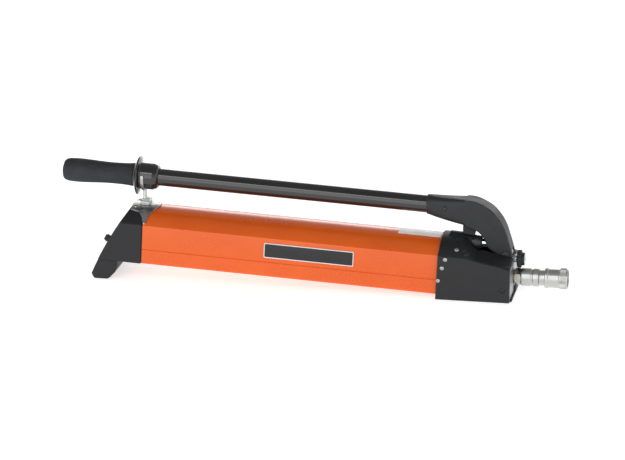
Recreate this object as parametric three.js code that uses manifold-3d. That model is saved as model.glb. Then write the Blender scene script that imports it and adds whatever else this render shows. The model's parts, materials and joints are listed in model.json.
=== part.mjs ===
// Two-stage hydraulic hand pump with an oil tank, a pump head, a lever and a quick coupler.
// Millimetres, +Z up, +X from the grip to the coupler, Z = 0 on the ground, centred in X and Y.
import * as THREE from 'three';
import { mergeVertices } from 'three/addons/utils/BufferGeometryUtils.js';
import Module from 'manifold-3d';

const wasm = await Module();
wasm.setup();

// ---- Driving dimensions ----
const tilt = THREE.MathUtils.degToRad(2.8); // the tank and the handle slope down towards the head
const gap = 0.3; // clearance between pieces that touch

const tankOrigin = [188.3, 0, 5.5]; // lower edge of the tank at the rear edge of the head cover
const tankHalfWidth = 47;
const tankSide = 58.5;
const crownRise = 18.8;
const tankWall = 3;
const tankRear = -435; // along the tank
const tankFront = 12;
const crownRadius = (tankHalfWidth ** 2 + crownRise ** 2) / (2 * crownRise);
const crownCentre = tankSide + crownRise - crownRadius;

const headRear = 185.6;
const headFront = 293.3;
const coverHalfWidth = 51;
const coverWall = 4;
const blockHalfWidth = coverHalfWidth - coverWall - gap;

const pivot = { x: 282.3, z: 60, pin: 4.5, eye: 10, knuckle: 8.5 };
const leverHalfWidth = 16;
const forkInside = 9.6; // half the space between the lever's cheeks
const slotHalfWidth = 16.8;
const slotStart = 234.6;

const plungerAxis = 73.5;
const plungerRadius = 6;
const yokePin = { x: 262.3, z: 77, radius: 4 };

const outletAxis = 25.5;
const releaseAxis = 52;
const knobRear = 297;
const hexFront = 303.7; // front of the outlet's hexagon
const couplerEnd = 371.3;

const tubeAxis = 61.3; // above the pivot, square to the tube
const tubeRadius = 12.7;
const tubeBore = 10.2;
const gripEnd = -656.85; // along the tube, from the pivot
const guardRim = -544.4;
const collarRadius = 19.5;

// ---- Materials ----
const paint = (color, roughness, metalness) => new THREE.MeshStandardMaterial({ color, roughness, metalness });
const finish = {
  orange: paint(0xf0641e, 0.35, 0.1),
  blackPlastic: paint(0x2b2d30, 0.55, 0),
  glossBlack: paint(0x17181a, 0.25, 0),
  blackPaint: paint(0x303236, 0.45, 0.1),
  rubber: paint(0x35373a, 0.8, 0),
  seal: paint(0x1c1c1c, 0.85, 0),
  zinc: paint(0xd5d8da, 0.35, 0.9),
  steel: paint(0xb9bcc0, 0.3, 1),
  aluminium: paint(0xc9ccd0, 0.4, 0.9),
  brass: paint(0xc7a25a, 0.35, 1),
  label: paint(0xe6e8ea, 0.5, 0),
};

// ---- Solids ----
// A closed geometry as a solid that can be joined and cut.
function solid(geometry) {
  const plain = geometry.clone();
  plain.deleteAttribute('normal');
  plain.deleteAttribute('uv');
  const merged = mergeVertices(plain, 1e-4);
  const mesh = new wasm.Mesh({
    numProp: 3,
    vertProperties: new Float32Array(merged.attributes.position.array),
    triVerts: new Uint32Array(merged.index.array),
  });
  return new wasm.Manifold(mesh);
}

function geometryOf(manifold) {
  const mesh = manifold.getMesh();
  const geometry = new THREE.BufferGeometry();
  geometry.setAttribute('position', new THREE.BufferAttribute(new Float32Array(mesh.vertProperties), 3));
  geometry.setIndex(new THREE.BufferAttribute(new Uint32Array(mesh.triVerts), 1));
  return geometry;
}

const join = (...shapes) => geometryOf(shapes.map(solid).reduce((a, b) => a.add(b)));
const cut = (shape, ...tools) => geometryOf(tools.map(solid).reduce((a, b) => a.subtract(b), solid(shape)));
const common = (a, b) => geometryOf(solid(a).intersect(solid(b)));

// A box from its lowest to its highest corner.
function block(x0, x1, y0, y1, z0, z1) {
  const geometry = new THREE.BoxGeometry(x1 - x0, y1 - y0, z1 - z0);
  return geometry.translate((x0 + x1) / 2, (y0 + y1) / 2, (z0 + z1) / 2);
}

const axes = {
  x: new THREE.Matrix4().makeBasis(
    new THREE.Vector3(0, 0, -1), new THREE.Vector3(1, 0, 0), new THREE.Vector3(0, -1, 0)),
  y: new THREE.Matrix4(),
  z: new THREE.Matrix4().makeBasis(
    new THREE.Vector3(1, 0, 0), new THREE.Vector3(0, 0, 1), new THREE.Vector3(0, -1, 0)),
};

// A rod along one axis, from one place to another on that axis.
function rod(axis, radius, from, to, a = 0, b = 0, sides = 24) {
  const geometry = new THREE.CylinderGeometry(radius, radius, to - from, sides);
  geometry.applyMatrix4(axes[axis]);
  const middle = (from + to) / 2;
  const place = { x: [middle, a, b], y: [a, middle, b], z: [a, b, middle] }[axis];
  return geometry.translate(...place);
}

// A turned piece on an X axis: a closed loop of [x, radius] points, or one that ends on the axis.
function turned(points, y, z, sides = 32) {
  const profile = points.map(([x, r]) => new THREE.Vector2(r, x));
  const geometry = new THREE.LatheGeometry(profile, sides);
  geometry.applyMatrix4(axes.x);
  const outward = solid(geometry).volume() > 0 ? geometry : flip(geometry);
  return outward.translate(0, y, z);
}

function flip(geometry) {
  const index = geometry.index.array;
  for (let i = 0; i < index.length; i += 3) {
    [index[i], index[i + 1]] = [index[i + 1], index[i]];
  }
  return geometry;
}

// A ring on an X axis.
function ring(x0, x1, inner, outer, y, z, sides = 32) {
  return cut(rod('x', outer, x0, x1, y, z, sides), rod('x', inner, x0 - 1, x1 + 1, y, z, sides));
}

// An outline drawn in X and Z, given thickness in Y.
function plate(points, y0, y1, bevel = 0) {
  const shape = new THREE.Shape(points.map(([x, z]) => new THREE.Vector2(x, z)));
  const geometry = new THREE.ExtrudeGeometry(shape, {
    depth: y1 - y0 - 2 * bevel,
    bevelEnabled: bevel > 0,
    bevelThickness: bevel,
    bevelSize: bevel,
    bevelOffset: -bevel,
    bevelSegments: 2,
  });
  geometry.applyMatrix4(new THREE.Matrix4().makeBasis(
    new THREE.Vector3(1, 0, 0), new THREE.Vector3(0, 0, 1), new THREE.Vector3(0, -1, 0)));
  return geometry.translate(0, y1 - bevel, 0);
}

// An outline drawn in Y and Z, given length in X.
function bar(points, x0, x1, hole = null) {
  const shape = new THREE.Shape(points.map(([y, z]) => new THREE.Vector2(y, z)));
  if (hole) shape.holes.push(new THREE.Path(hole.map(([y, z]) => new THREE.Vector2(y, z))));
  const geometry = new THREE.ExtrudeGeometry(shape, { depth: x1 - x0, bevelEnabled: false });
  geometry.applyMatrix4(new THREE.Matrix4().makeBasis(
    new THREE.Vector3(0, 1, 0), new THREE.Vector3(0, 0, 1), new THREE.Vector3(1, 0, 0)));
  return geometry.translate(x0, 0, 0);
}

// An outline drawn in X and Y, given height in Z.
function column(points, z0, z1) {
  const shape = new THREE.Shape(points.map(([x, y]) => new THREE.Vector2(x, y)));
  return new THREE.ExtrudeGeometry(shape, { depth: z1 - z0, bevelEnabled: false }).translate(0, 0, z0);
}

function arc(cx, cy, radius, from, to, steps) {
  return Array.from({ length: steps + 1 }, (_, i) => {
    const angle = from + ((to - from) * i) / steps;
    return [cx + radius * Math.cos(angle), cy + radius * Math.sin(angle)];
  });
}

// A six-sided bar along X.
function hexagon(acrossFlats, x0, x1, y, z) {
  return rod('x', acrossFlats / Math.sqrt(3), x0, x1, y, z, 6);
}

// ---- Groups ----
const pump = new THREE.Group();
const tank = new THREE.Group();
tank.position.set(...tankOrigin);
tank.rotation.y = tilt;
const lever = new THREE.Group();
lever.position.set(pivot.x, 0, pivot.z);
const handle = new THREE.Group();
handle.rotation.y = tilt;
lever.add(handle);
pump.add(tank, lever);
pump.updateMatrixWorld(true);

const intoTank = (geometry) => geometry.applyMatrix4(tank.matrixWorld.clone().invert());
const outOfTank = (geometry) => geometry.applyMatrix4(tank.matrixWorld);

function add(group, name, geometry, material) {
  const mesh = new THREE.Mesh(geometry, material.clone());
  mesh.name = name;
  group.add(mesh);
  return mesh;
}

// ---- Tank ----
// The D section in Y and Z, grown by an offset. The side may carry a shallow groove.
function tankSection(offset, groove = 0) {
  const half = tankHalfWidth + offset;
  const radius = crownRadius + offset;
  const shoulder = Math.acos(half / radius);
  const corner = 5;
  const right = [
    ...arc(half - corner, corner - offset, corner, -Math.PI / 2, 0, 3),
    ...(groove ? [[half, 22.4], [half - groove, 23], [half, 23.6]] : []),
    ...arc(0, crownCentre, radius, shoulder, Math.PI / 2, 8).slice(0, -1),
  ];
  const left = right.map(([y, z]) => [-y, z]).reverse();
  return [...right, [0, crownCentre + radius], ...left];
}

// Height above the ground of the tank's crown, grown by an offset, at a point of the plan.
function crownHeight(x, y, offset) {
  const level = crownCentre + Math.sqrt((crownRadius + offset) ** 2 - y ** 2);
  return tankOrigin[2] + level / Math.cos(tilt) - Math.tan(tilt) * (x - tankOrigin[0]);
}

const coverScrews = [
  { name: 'upper', x: 200, z: 60.5, deep: 5 },
  { name: 'middle', x: 195.5, z: 47.5, deep: 5 },
  { name: 'lower', x: 190, z: 28.5, deep: 5 },
  { name: 'front', x: 282.6, z: 18.3, deep: 9 },
];
const screwHoles = coverScrews.map(({ x, z }) => rod('y', 2.3, -60, 60, x, z, 8));
const crownScrew = { x: 215, y: 39.5 };

const shell = bar(tankSection(0, 0.8), tankRear, tankFront, tankSection(-tankWall));
const shellHoles = screwHoles.slice(0, 3).map((hole) => intoTank(hole.clone()));
add(tank, 'tank_shell', cut(shell, ...shellHoles), finish.orange);

const gasket = (x0, x1) => bar(tankSection(-0.2), x0, x1, tankSection(-tankWall - 0.2));
add(tank, 'rear_gasket', gasket(tankRear - 1.4, tankRear - gap), finish.seal);
add(tank, 'front_gasket', gasket(tankFront + gap, tankFront + 1.3), finish.seal);

// Blank panels, one on each side of the tank.
const panel = { x0: -255, x1: -123.5, z0: 29.8, z1: 52 };
for (const [side, name] of [[-1, 'side_panel_near'], [1, 'side_panel_far']]) {
  const inner = side * (tankHalfWidth + gap);
  const outer = side * (tankHalfWidth + 1);
  const shape = block(panel.x0, panel.x1, Math.min(inner, outer), Math.max(inner, outer), panel.z0, panel.z1);
  add(tank, name, shape, finish.glossBlack);
}

// A blank label that follows the crown just behind the head.
function crownStrip(x0, x1, halfWidth, inner, outer) {
  const low = crownRadius + inner;
  const high = crownRadius + outer;
  const turn = Math.asin(halfWidth / low);
  const top = Math.PI / 2;
  const section = [
    ...arc(0, crownCentre, high, top - turn, top + turn, 10),
    ...arc(0, crownCentre, low, top + turn, top - turn, 10),
  ];
  return bar(section, x0, x1);
}
add(tank, 'crown_label', crownStrip(-66, -4, 13, gap, 0.8), finish.label);

// Tie rod along the tank, and the suction tube near the floor of the tank.
const rodHeight = 36;
add(tank, 'tie_rod', rod('x', 4, tankRear - 16, tankFront + 10, 0, rodHeight, 16), finish.steel);
const suction = { y: 0, z: 12, end: -60 };
add(tank, 'suction_tube', ring(suction.end, tankFront + 12, 3, 4.2, suction.y, suction.z, 20), finish.steel);
const strainer = cut(
  rod('x', 7.5, suction.end - 26, suction.end + 8, suction.y, suction.z, 20),
  rod('x', 4.2 + gap, suction.end - gap, suction.end + 9, suction.y, suction.z, 20),
  rod('x', 2.6, suction.end - 22, suction.end, suction.y, suction.z, 12),
);
add(tank, 'suction_strainer', strainer, finish.brass);

// ---- Rear cap with its foot ----
const capFront = tankRear - 1.7;
const slopeTop = new THREE.Vector2(-264.5, 107.4);
const slopeBend = new THREE.Vector2(-299.8, 58.9);
const slopeFoot = new THREE.Vector2(-322.5, 7.2);
const slope = new THREE.QuadraticBezierCurve(slopeTop, slopeBend, slopeFoot);
const slopeLine = slope.getPoints(7).map((p) => [p.x, p.y]);
const capBar = outOfTank(bar(tankSection(0.6), capFront - 100, capFront));
const capTop = common(capBar, plate([...slopeLine, [-303, 20], [-220, 17], [-220, 110]], -60, 60));
const capFoot = plate([
  ...slopeLine.slice(-3), [-318, 0], [-297.5, 0], [-294, 3], [-287, 10.5], [-283.2, 19], [-281.5, 37],
], -43.5, 43.5, 1.2);

const fillerAngle = Math.atan2(14, 7.9); // the rear slope at the filler plug, from the ground
const filler = { x: -302.3, z: 46.5 };
const fillerAxis = new THREE.Vector3(-Math.sin(fillerAngle), 0, Math.cos(fillerAngle));
function alongFiller(radius, from, to, sides) {
  const geometry = new THREE.CylinderGeometry(radius, radius, to - from, sides);
  const turn = new THREE.Quaternion().setFromUnitVectors(new THREE.Vector3(0, 1, 0), fillerAxis);
  geometry.applyQuaternion(turn);
  const middle = fillerAxis.clone().multiplyScalar((from + to) / 2);
  return geometry.translate(filler.x + middle.x, 0, filler.z + middle.z);
}
const pocket = outOfTank(bar(tankSection(-6), capFront - 17, capFront + 1));
const rodSocket = outOfTank(rod('x', 4 + gap, capFront - 18, capFront + 1, 0, rodHeight, 16));
const clip = { x: -248, base: 112, stripX: -250, screwX: -260.5, screwY: 16 };
const clipHoles = [-1, 1].map((side) => rod('z', 2.2, 80, 130, clip.screwX, side * clip.screwY, 12));
const rearCap = cut(join(capTop, capFoot), pocket, rodSocket, alongFiller(4.4, -34, 4, 20), ...clipHoles);
add(pump, 'rear_foot_cap', rearCap, finish.blackPlastic);

add(pump, 'filler_plug', join(
  alongFiller(4, -20, 2.6, 20),
  alongFiller(5.4, 2.6, 8.4, 20),
  alongFiller(4.2, 8.4, 10, 20),
), finish.steel);
add(pump, 'filler_seal', cut(alongFiller(5, 1, 2.3, 20), alongFiller(4.3, -1, 3, 20)), finish.seal);

// A kite-shaped plate across the crown, over the joint between the tank and the cap.
const halfKite = [[-266, -24], [-254, -27], [-247, -36], [-243.5, -46], [-240.5, -46], [-236, -30], [-226.5, -8]];
const kite = column([...halfKite, ...halfKite.map(([x, y]) => [x, -y]).reverse()], 82, 130);
const sheet = outOfTank(bar(tankSection(2.2), tankRear - 30, tankRear + 30, tankSection(0.9)));
add(tank, 'rear_band', intoTank(cut(common(sheet, kite), ...clipHoles)), finish.zinc);

// ---- Handle clip ----
const saddleBlock = bar([[-11, 60], [11, 60], [11, clip.base], [-11, clip.base]], clip.x - 6.5, clip.x + 6.5);
const crownBelow = outOfTank(bar(tankSection(2.5), tankRear - 60, tankRear + 60));
const boxHollow = block(clip.x - 4.5, clip.x + 4.5, -9, 9, 60, clip.base - 2.4);
add(pump, 'clip_saddle', cut(saddleBlock, crownBelow, boxHollow), finish.zinc);

// A narrow strip bent to a U for the collar, on a stem and a foot.
const collarZ = pivot.z + tubeAxis / Math.cos(tilt) - (clip.stripX - pivot.x) * Math.tan(tilt);
const armTop = collarZ + 5.2;
const clipU = bar([
  ...arc(0, collarZ, collarRadius + 2, Math.PI, 2 * Math.PI, 16),
  [collarRadius + 2, armTop], [collarRadius + 0.4, armTop],
  ...arc(0, collarZ, collarRadius + 0.4, 2 * Math.PI, Math.PI, 16),
  [-collarRadius - 0.4, armTop], [-collarRadius - 2, armTop],
], clip.stripX - 2.25, clip.stripX + 2.25);
const clipStem = block(clip.stripX - 2, clip.stripX + 2, -6, 6, clip.base + 1, collarZ - collarRadius - 0.9);
const clipFoot = block(clip.x - 6, clip.x + 6, -9, 9, clip.base + gap, clip.base + 2);
add(pump, 'handle_clip', join(clipFoot, clipStem, clipU), finish.zinc);
for (const [i, side] of [[1, -1], [2, 1]]) {
  const y = side * clip.screwY;
  const top = crownHeight(clip.screwX - 3.6, clip.screwY - 3.6, 2.2) + gap;
  const screw = join(rod('z', 3.6, top, top + 2, clip.screwX, y, 16),
    rod('z', 1.9, top - 9, top + 0.5, clip.screwX, y, 12));
  add(pump, `clip_screw_${i}`, screw, finish.zinc);
}

// ---- Head cover ----
// Height of the cover's sides along its length, and half the width of the deck between its shoulders.
const shoulderLine = [[222, 60], [241, 58.6], [252, 56], [273, 53], [headFront, 46.5]];
const deckHalfWidth = 40;
function shoulderHeight(x) {
  const next = shoulderLine.findIndex(([at]) => at > x);
  if (next === 0) return shoulderLine[0][1];
  if (next < 0) return shoulderLine[shoulderLine.length - 1][1];
  const [[x0, z0], [x1, z1]] = shoulderLine.slice(next - 1, next + 1);
  return THREE.MathUtils.mapLinear(x, x0, x1, z0, z1);
}

// Height of the cover's skin above the ground at a point of its plan.
function coverHeight(x, y) {
  const side = Math.min(Math.abs(y), coverHalfWidth);
  const crest = THREE.MathUtils.mapLinear(x, 243, headFront, 62.4, 51.5);
  const inner = Math.min(THREE.MathUtils.mapLinear(x, 252, headFront, 67, 58.5), 67);
  const across = THREE.MathUtils.clamp((side - slotHalfWidth) / (deckHalfWidth - slotHalfWidth), 0, 1);
  const over = THREE.MathUtils.clamp((side - deckHalfWidth) / (coverHalfWidth - deckHalfWidth), 0, 1);
  const flat = THREE.MathUtils.lerp(inner, crest, across);
  const deck = THREE.MathUtils.lerp(shoulderHeight(x), flat, Math.sqrt(1 - over ** 2));
  return THREE.MathUtils.lerp(crownHeight(x, side, 3), deck, THREE.MathUtils.smoothstep(x, 222, 245));
}

// A closed solid from the ground to a height, over a grid of a rectangle that is finer at its sides.
function mound(x0, x1, halfWidth, z0, height, columns, rows) {
  const geometry = new THREE.BoxGeometry(x1 - x0, 2 * halfWidth, 1, columns, rows, 1);
  geometry.translate((x0 + x1) / 2, 0, 0);
  const at = geometry.attributes.position;
  for (let i = 0; i < at.count; i += 1) {
    at.setY(i, halfWidth * Math.sin((at.getY(i) / halfWidth) * (Math.PI / 2)));
    at.setZ(i, at.getZ(i) > 0 ? height(at.getX(i), at.getY(i)) : z0);
  }
  return geometry;
}

const boss = { rear: 200, front: 234, rearRadius: 15.5, frontRadius: 11.6 };
const bossShape = (shrink, x0, x1) => turned([
  [x0, 0], [x0, boss.rearRadius - shrink], [208, boss.rearRadius - shrink - 0.4],
  [224, 13.9 - shrink], [boss.front - 2, boss.frontRadius - shrink], [x1, 11.3 - shrink], [x1, 0],
], 0, plungerAxis);
const coverOuter = join(
  mound(headRear, headFront, coverHalfWidth, 0, coverHeight, 18, 18),
  bossShape(0, boss.rear, boss.front),
);
const tankRecess = outOfTank(bar(tankSection(0.4), -20, tankFront + 4));
const blockRear = 205.6;
const coverCavity = mound(
  blockRear - 2, headFront + 5, coverHalfWidth - coverWall, -1,
  (x, y) => coverHeight(Math.min(x, headFront), y) - coverWall, 16, 12,
);
const leverSlot = block(slotStart, headFront + 5, -slotHalfWidth, slotHalfWidth, 40, 120);
const crownHoles = [-1, 1].map((side) => rod('z', 2.2, 50, 90, crownScrew.x, side * crownScrew.y, 10));
const rearEdge = plate([[180, -5], [headRear, -5], [headRear + 5, 100], [180, 100]], -60, 60);
const headCover = cut(
  coverOuter, tankRecess, coverCavity, leverSlot, rearEdge,
  rod('x', 9.8, 202, 240, 0, plungerAxis, 24), ...screwHoles, ...crownHoles,
);
add(pump, 'head_cover', headCover, finish.blackPlastic);

for (const { name, x, z, deep } of coverScrews) {
  for (const [side, label] of [[-1, 'near'], [1, 'far']]) {
    const from = coverHalfWidth + gap;
    const parts = [
      rod('y', 3.3, Math.min(side * from, side * (from + 1.5)), Math.max(side * from, side * (from + 1.5)), x, z, 12),
      rod('y', 1.9, Math.min(side * (from - deep), side * (from + 0.5)),
        Math.max(side * (from - deep), side * (from + 0.5)), x, z, 8),
    ];
    add(pump, `cover_screw_${name}_${label}`, join(...parts), name === 'front' ? finish.blackPaint : finish.zinc);
  }
}
for (const [side, label] of [[-1, 'near'], [1, 'far']]) {
  const y = side * crownScrew.y;
  const top = coverHeight(crownScrew.x, Math.abs(y) - 3.5) + gap;
  const screw = join(rod('z', 3.3, top, top + 1.6, crownScrew.x, y, 14),
    rod('z', 1.9, top - 9, top + 0.5, crownScrew.x, y, 10));
  add(pump, `crown_screw_${label}`, screw, finish.zinc);
}

// ---- Pump block ----
const valves = { suctionX: 222, deliveryX: 252 };
const spigot = outOfTank(bar(tankSection(-tankWall - gap), -6, tankFront + 8));
const blockHeight = (x, y) => Math.min(52, coverHeight(x, y) - coverWall - gap);
const blockBody = join(
  mound(blockRear, headFront, blockHalfWidth, 0, blockHeight, 12, 12),
  spigot,
  block(blockRear, slotStart - 0.6, -8, 8, 50, plungerAxis),
  rod('x', 9.5, blockRear, slotStart - 0.6, 0, plungerAxis, 24),
  block(pivot.x - 12, headFront, -9.2, 9.2, 48, 56),
  rod('y', pivot.knuckle, -9.2, 9.2, pivot.x, pivot.z, 28),
);
const forkSlots = [-1, 1].map((side) => block(
  pivot.x - 13, headFront + 1,
  Math.min(side * 9.2, side * slotHalfWidth), Math.max(side * 9.2, side * slotHalfWidth), 48.5, 70,
));
const tongueRoof = cut(
  block(pivot.x - 14, headFront + 1, -10, 10, 56, 80),
  rod('y', pivot.knuckle, -11, 11, pivot.x, pivot.z, 28),
);
const headBlock = cut(
  blockBody, ...forkSlots, tongueRoof, outOfTank(bar(tankSection(3), -30, -5.9)),
  rod('y', pivot.pin + gap, -12, 12, pivot.x, pivot.z, 24),
  rod('x', plungerRadius + 0.2, 206, 240, 0, plungerAxis, 24),
  rod('x', 7.2, 280, headFront + 1, 0, outletAxis, 24),
  rod('x', 3.2, 262, headFront + 1, 0, releaseAxis, 16),
  rod('z', 5.2, 20, 71, valves.suctionX, 0, 20),
  rod('z', 7, -1, 20.5, valves.suctionX, 0, 20),
  rod('z', 5.2, 20, 46, valves.deliveryX, 0, 20),
  rod('z', 7, -1, 20.5, valves.deliveryX, 0, 20),
  outOfTank(rod('x', 4 + gap, -8, tankFront + 11, 0, rodHeight, 16)),
  outOfTank(rod('x', 4.2 + gap, -8, tankFront + 13, suction.y, suction.z, 20)),
  ...[0, 1, 2, 3].map((i) => screwHoles[i].clone()),
);
add(pump, 'pump_block', headBlock, finish.aluminium);

const reliefCap = plate([
  [-46, 0.6], [46, 0.6], [46, 3.2], [34, 3.2], [34, 9], [33, 10], [1, 10], [0, 9], [0, 3.2], [-46, 3.2],
], 0, 2.2).rotateZ(Math.PI / 2);
add(pump, 'relief_valve_cap', reliefCap.translate(headFront + gap + 2.2, 0, 0), finish.blackPlastic);

for (const [name, x] of [['suction', valves.suctionX], ['delivery', valves.deliveryX]]) {
  add(pump, `${name}_ball`, new THREE.SphereGeometry(4, 12, 8).translate(x, 0, 18 + gap + 4), finish.steel);
  const plug = cut(rod('z', 6.7, 4, 18, x, 0, 20), rod('z', 3, 3, 8, x, 0, 6));
  add(pump, `${name}_valve_plug`, plug, finish.steel);
}

// Springs are drawn as coils of round wire along X or Z.
class Helix extends THREE.Curve {
  constructor(radius, length, turns) {
    super();
    Object.assign(this, { radius, length, turns });
  }

  getPoint(t, target = new THREE.Vector3()) {
    const angle = 2 * Math.PI * this.turns * t;
    return target.set(this.length * t, this.radius * Math.cos(angle), this.radius * Math.sin(angle));
  }
}
function spring(radius, wire, length, turns) {
  const section = new THREE.Shape(arc(0, 0, wire, 0, 2 * Math.PI, 5).slice(0, -1)
    .map(([x, y]) => new THREE.Vector2(x, y)));
  const path = new Helix(radius, length, turns);
  return new THREE.ExtrudeGeometry(section, { steps: turns * 14, extrudePath: path, bevelEnabled: false });
}

// ---- Plunger ----
const yokeX = yokePin.x;
const yokeSlot = join(
  block(yokeX - 5.2, yokeX + 5.2, -10, 10, yokePin.z + 0.6, yokePin.z + 9.2),
  rod('y', 5.2, -10, 10, yokeX, yokePin.z + 0.6, 20),
  rod('y', 5.2, -10, 10, yokeX, yokePin.z + 9.2, 20),
);
const yoke = plate([
  [yokeX - 9, 69.2], [yokeX + 9, 69.2], [yokeX + 9, 90], [yokeX + 4.5, 94.5], [yokeX - 4.5, 94.5],
  [yokeX - 9, 90],
], -8.6, 8.6, 0.6);
add(pump, 'plunger_yoke', cut(yoke, yokeSlot, rod('x', 3.2, yokeX - 10, yokeX - 5, 0, plungerAxis, 16)),
  finish.steel);
add(pump, 'plunger', join(
  rod('x', plungerRadius, 212, yokeX - 9 - gap, 0, plungerAxis, 24),
  rod('x', 2.9, yokeX - 10, yokeX - 5.6, 0, plungerAxis, 16),
), finish.steel);
add(pump, 'gland_nut', cut(
  turned([
    [slotStart + 0.2, 0], [slotStart + 0.2, 11.2], [245.6, 9.8], [247, 8.6], [247, 0],
  ], 0, plungerAxis),
  rod('x', plungerRadius + 0.2, 230, 250, 0, plungerAxis, 24),
), finish.blackPaint);

// ---- Lever: rubber buffer on the cover, cast arm, pins and bushes ----
const bossTop = (x) => plungerAxis + THREE.MathUtils.mapLinear(x, 208, 234, 15.4, 11.6);
add(pump, 'rest_buffer', plate([
  [219, bossTop(219) + 0.9], [236.4, bossTop(236.4) + 1], [236.4, 94.9], [228, 98.2], [219, 101],
], -7.5, 7.5), finish.rubber);

const outerEdge = new THREE.SplineCurve([
  [-92, 77.6], [-60, 79.2], [-44, 77.6], [-24, 68], [-10.3, 54], [-1.7, 39], [3.4, 24], [8.2, 8.2],
].map(([x, z]) => new THREE.Vector2(x, z))).getPoints(21).map((p) => [p.x, p.y]);
const innerEdge = new THREE.SplineCurve([
  [-24.6, 9.1], [-28.3, 15.5], [-31.5, 23], [-37.5, 30.6], [-46, 36], [-62, 41.4], [-92, 50.5],
].map(([x, z]) => new THREE.Vector2(x, z))).getPoints(14).map((p) => [p.x, p.y]);
const eye = arc(0, 0, pivot.eye, 0.2, -Math.PI, 9);
const legShape = plate([...outerEdge, ...eye, ...innerEdge], -leverHalfWidth, leverHalfWidth, 2.6);
const alongHandle = (geometry) => geometry.applyMatrix4(handle.matrix);
handle.updateMatrix();
const socket = alongHandle(rod('x', 14.5, -119, -57, 0, tubeAxis, 32));
const forkHollow = plate([
  [-50, -20], [-50, 34], [-36, 42], [-24, 49.5], [-18.6, 46.5], [-13.6, 39.5], [-9.8, 32.5], [-6.6, 25],
  [-3.6, 17.5], [-0.6, 12], [2.2, 9.2], [14, 5.2], [20, 0], [20, -20],
], -forkInside, forkInside);
const clampHole = alongHandle(rod('y', 2.6, -20, -8, -92, tubeAxis, 12));
const leverArm = cut(
  join(legShape, socket),
  forkHollow,
  alongHandle(rod('x', tubeRadius + 0.2, -121, -57, 0, tubeAxis, 32)),
  rod('y', pivot.pin + 1.9, -30, 30, 0, 0, 24),
  rod('y', yokePin.radius + 0.2, -14, 14, yokePin.x - pivot.x, yokePin.z - pivot.z, 20),
  clampHole,
);
add(lever, 'lever_arm', leverArm, finish.blackPaint);
add(lever, 'yoke_pin', rod('y', yokePin.radius, -13.7, 13.7, yokePin.x - pivot.x, yokePin.z - pivot.z, 20),
  finish.steel);
add(lever, 'pivot_pin', rod('y', pivot.pin, -14.2, 14.2, 0, 0, 24), finish.steel);
for (const [side, label] of [[-1, 'near'], [1, 'far']]) {
  const place = (from, to) => [Math.min(side * from, side * to), Math.max(side * from, side * to)];
  const [b0, b1] = place(forkInside + 0.1, 14.2);
  const bush = cut(rod('y', pivot.pin + 1.6, b0, b1, 0, 0, 24), rod('y', pivot.pin + gap, -20, 20, 0, 0, 24));
  add(lever, `pivot_bush_${label}`, bush, finish.brass);
  const [c0, c1] = place(14.5, 15.8);
  add(lever, `pivot_plug_${label}`, rod('y', pivot.pin + 1.6, c0, c1, 0, 0, 24), finish.blackPlastic);
}

// ---- Handle tube and grip, along the tube ----
const tubeStart = -640;
add(handle, 'handle_tube', ring(tubeStart, -58, tubeBore, tubeRadius, 0, tubeAxis, 32), finish.glossBlack);
add(handle, 'clamp_screw', rod('y', 2.3, -15.4, -tubeRadius - 0.4, -92, tubeAxis, 12), finish.steel);

const inside = tubeRadius + gap;
add(handle, 'hand_guard', turned([
  [-551, inside], [-551, 16.4], [-548, 18.6], [guardRim - 1.4, 27.4], [guardRim, 28.5], [guardRim + 1.6, 27.6],
  [guardRim + 3.4, 20.4], [guardRim + 5, collarRadius], [-522, collarRadius], [-516, 17], [-514, 14],
  [-514, inside], [-551, inside],
], 0, tubeAxis, 28), finish.glossBlack);
// The grip droops a little towards its end, round a straight bore for the tube.
const gripOuter = turned([
  [gripEnd, 0], [gripEnd, 9], [gripEnd + 1.4, 13.2], [gripEnd + 4, 15.4], [gripEnd + 9, 16.8], [-634, 17.3],
  [-618, 16.8], [-604, 16], [-590, 15.5], [-575, 15.5], [-562, 16], [-551 - gap, 17], [-551 - gap, 0],
], 0, tubeAxis, 28);
const gripPoints = gripOuter.attributes.position;
for (let i = 0; i < gripPoints.count; i += 1) {
  const out = (-551 - gap - gripPoints.getX(i)) / (-551 - gap - gripEnd);
  gripPoints.setZ(i, gripPoints.getZ(i) - 1.9 * out);
}
add(handle, 'hand_grip', cut(gripOuter, rod('x', inside, tubeStart - gap, -540, 0, tubeAxis, 28)), finish.rubber);

// ---- Release valve ----
add(pump, 'release_gland', cut(
  rod('x', 5.2, headFront + gap, knobRear - gap, 0, releaseAxis, 20),
  rod('x', 3.1, headFront - 1, knobRear + 1, 0, releaseAxis, 16),
), finish.steel);
const knob = cut(
  turned([
    [knobRear, 2.9], [knobRear, 7], [knobRear + 1, 11.8], [knobRear + 2, 13], [knobRear + 6, 13],
    [knobRear + 7, 12], [knobRear + 7.2, 9.4], [knobRear + 10.6, 9.2], [knobRear + 11.4, 8.4],
    [knobRear + 11.4, 7.4], [knobRear + 10, 7.2], [knobRear + 10, 2.9], [knobRear, 2.9],
  ], 0, releaseAxis, 24),
  ...Array.from({ length: 12 }, (_, i) => {
    const angle = (i * Math.PI) / 6;
    return rod('x', 1.7, knobRear - 1, knobRear + 11, 14 * Math.cos(angle), releaseAxis + 14 * Math.sin(angle), 6);
  }),
);
add(pump, 'release_knob', knob, finish.blackPlastic);
add(pump, 'knob_insert', ring(knobRear + 10.3, knobRear + 11.6, 3, 6.9, 0, releaseAxis, 20), finish.zinc);
add(pump, 'release_stem', rod('x', 2.7, 270, knobRear + 12, 0, releaseAxis, 16), finish.steel);
add(pump, 'release_ball', new THREE.SphereGeometry(2.8, 12, 8).translate(266.6, 0, releaseAxis), finish.steel);

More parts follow.
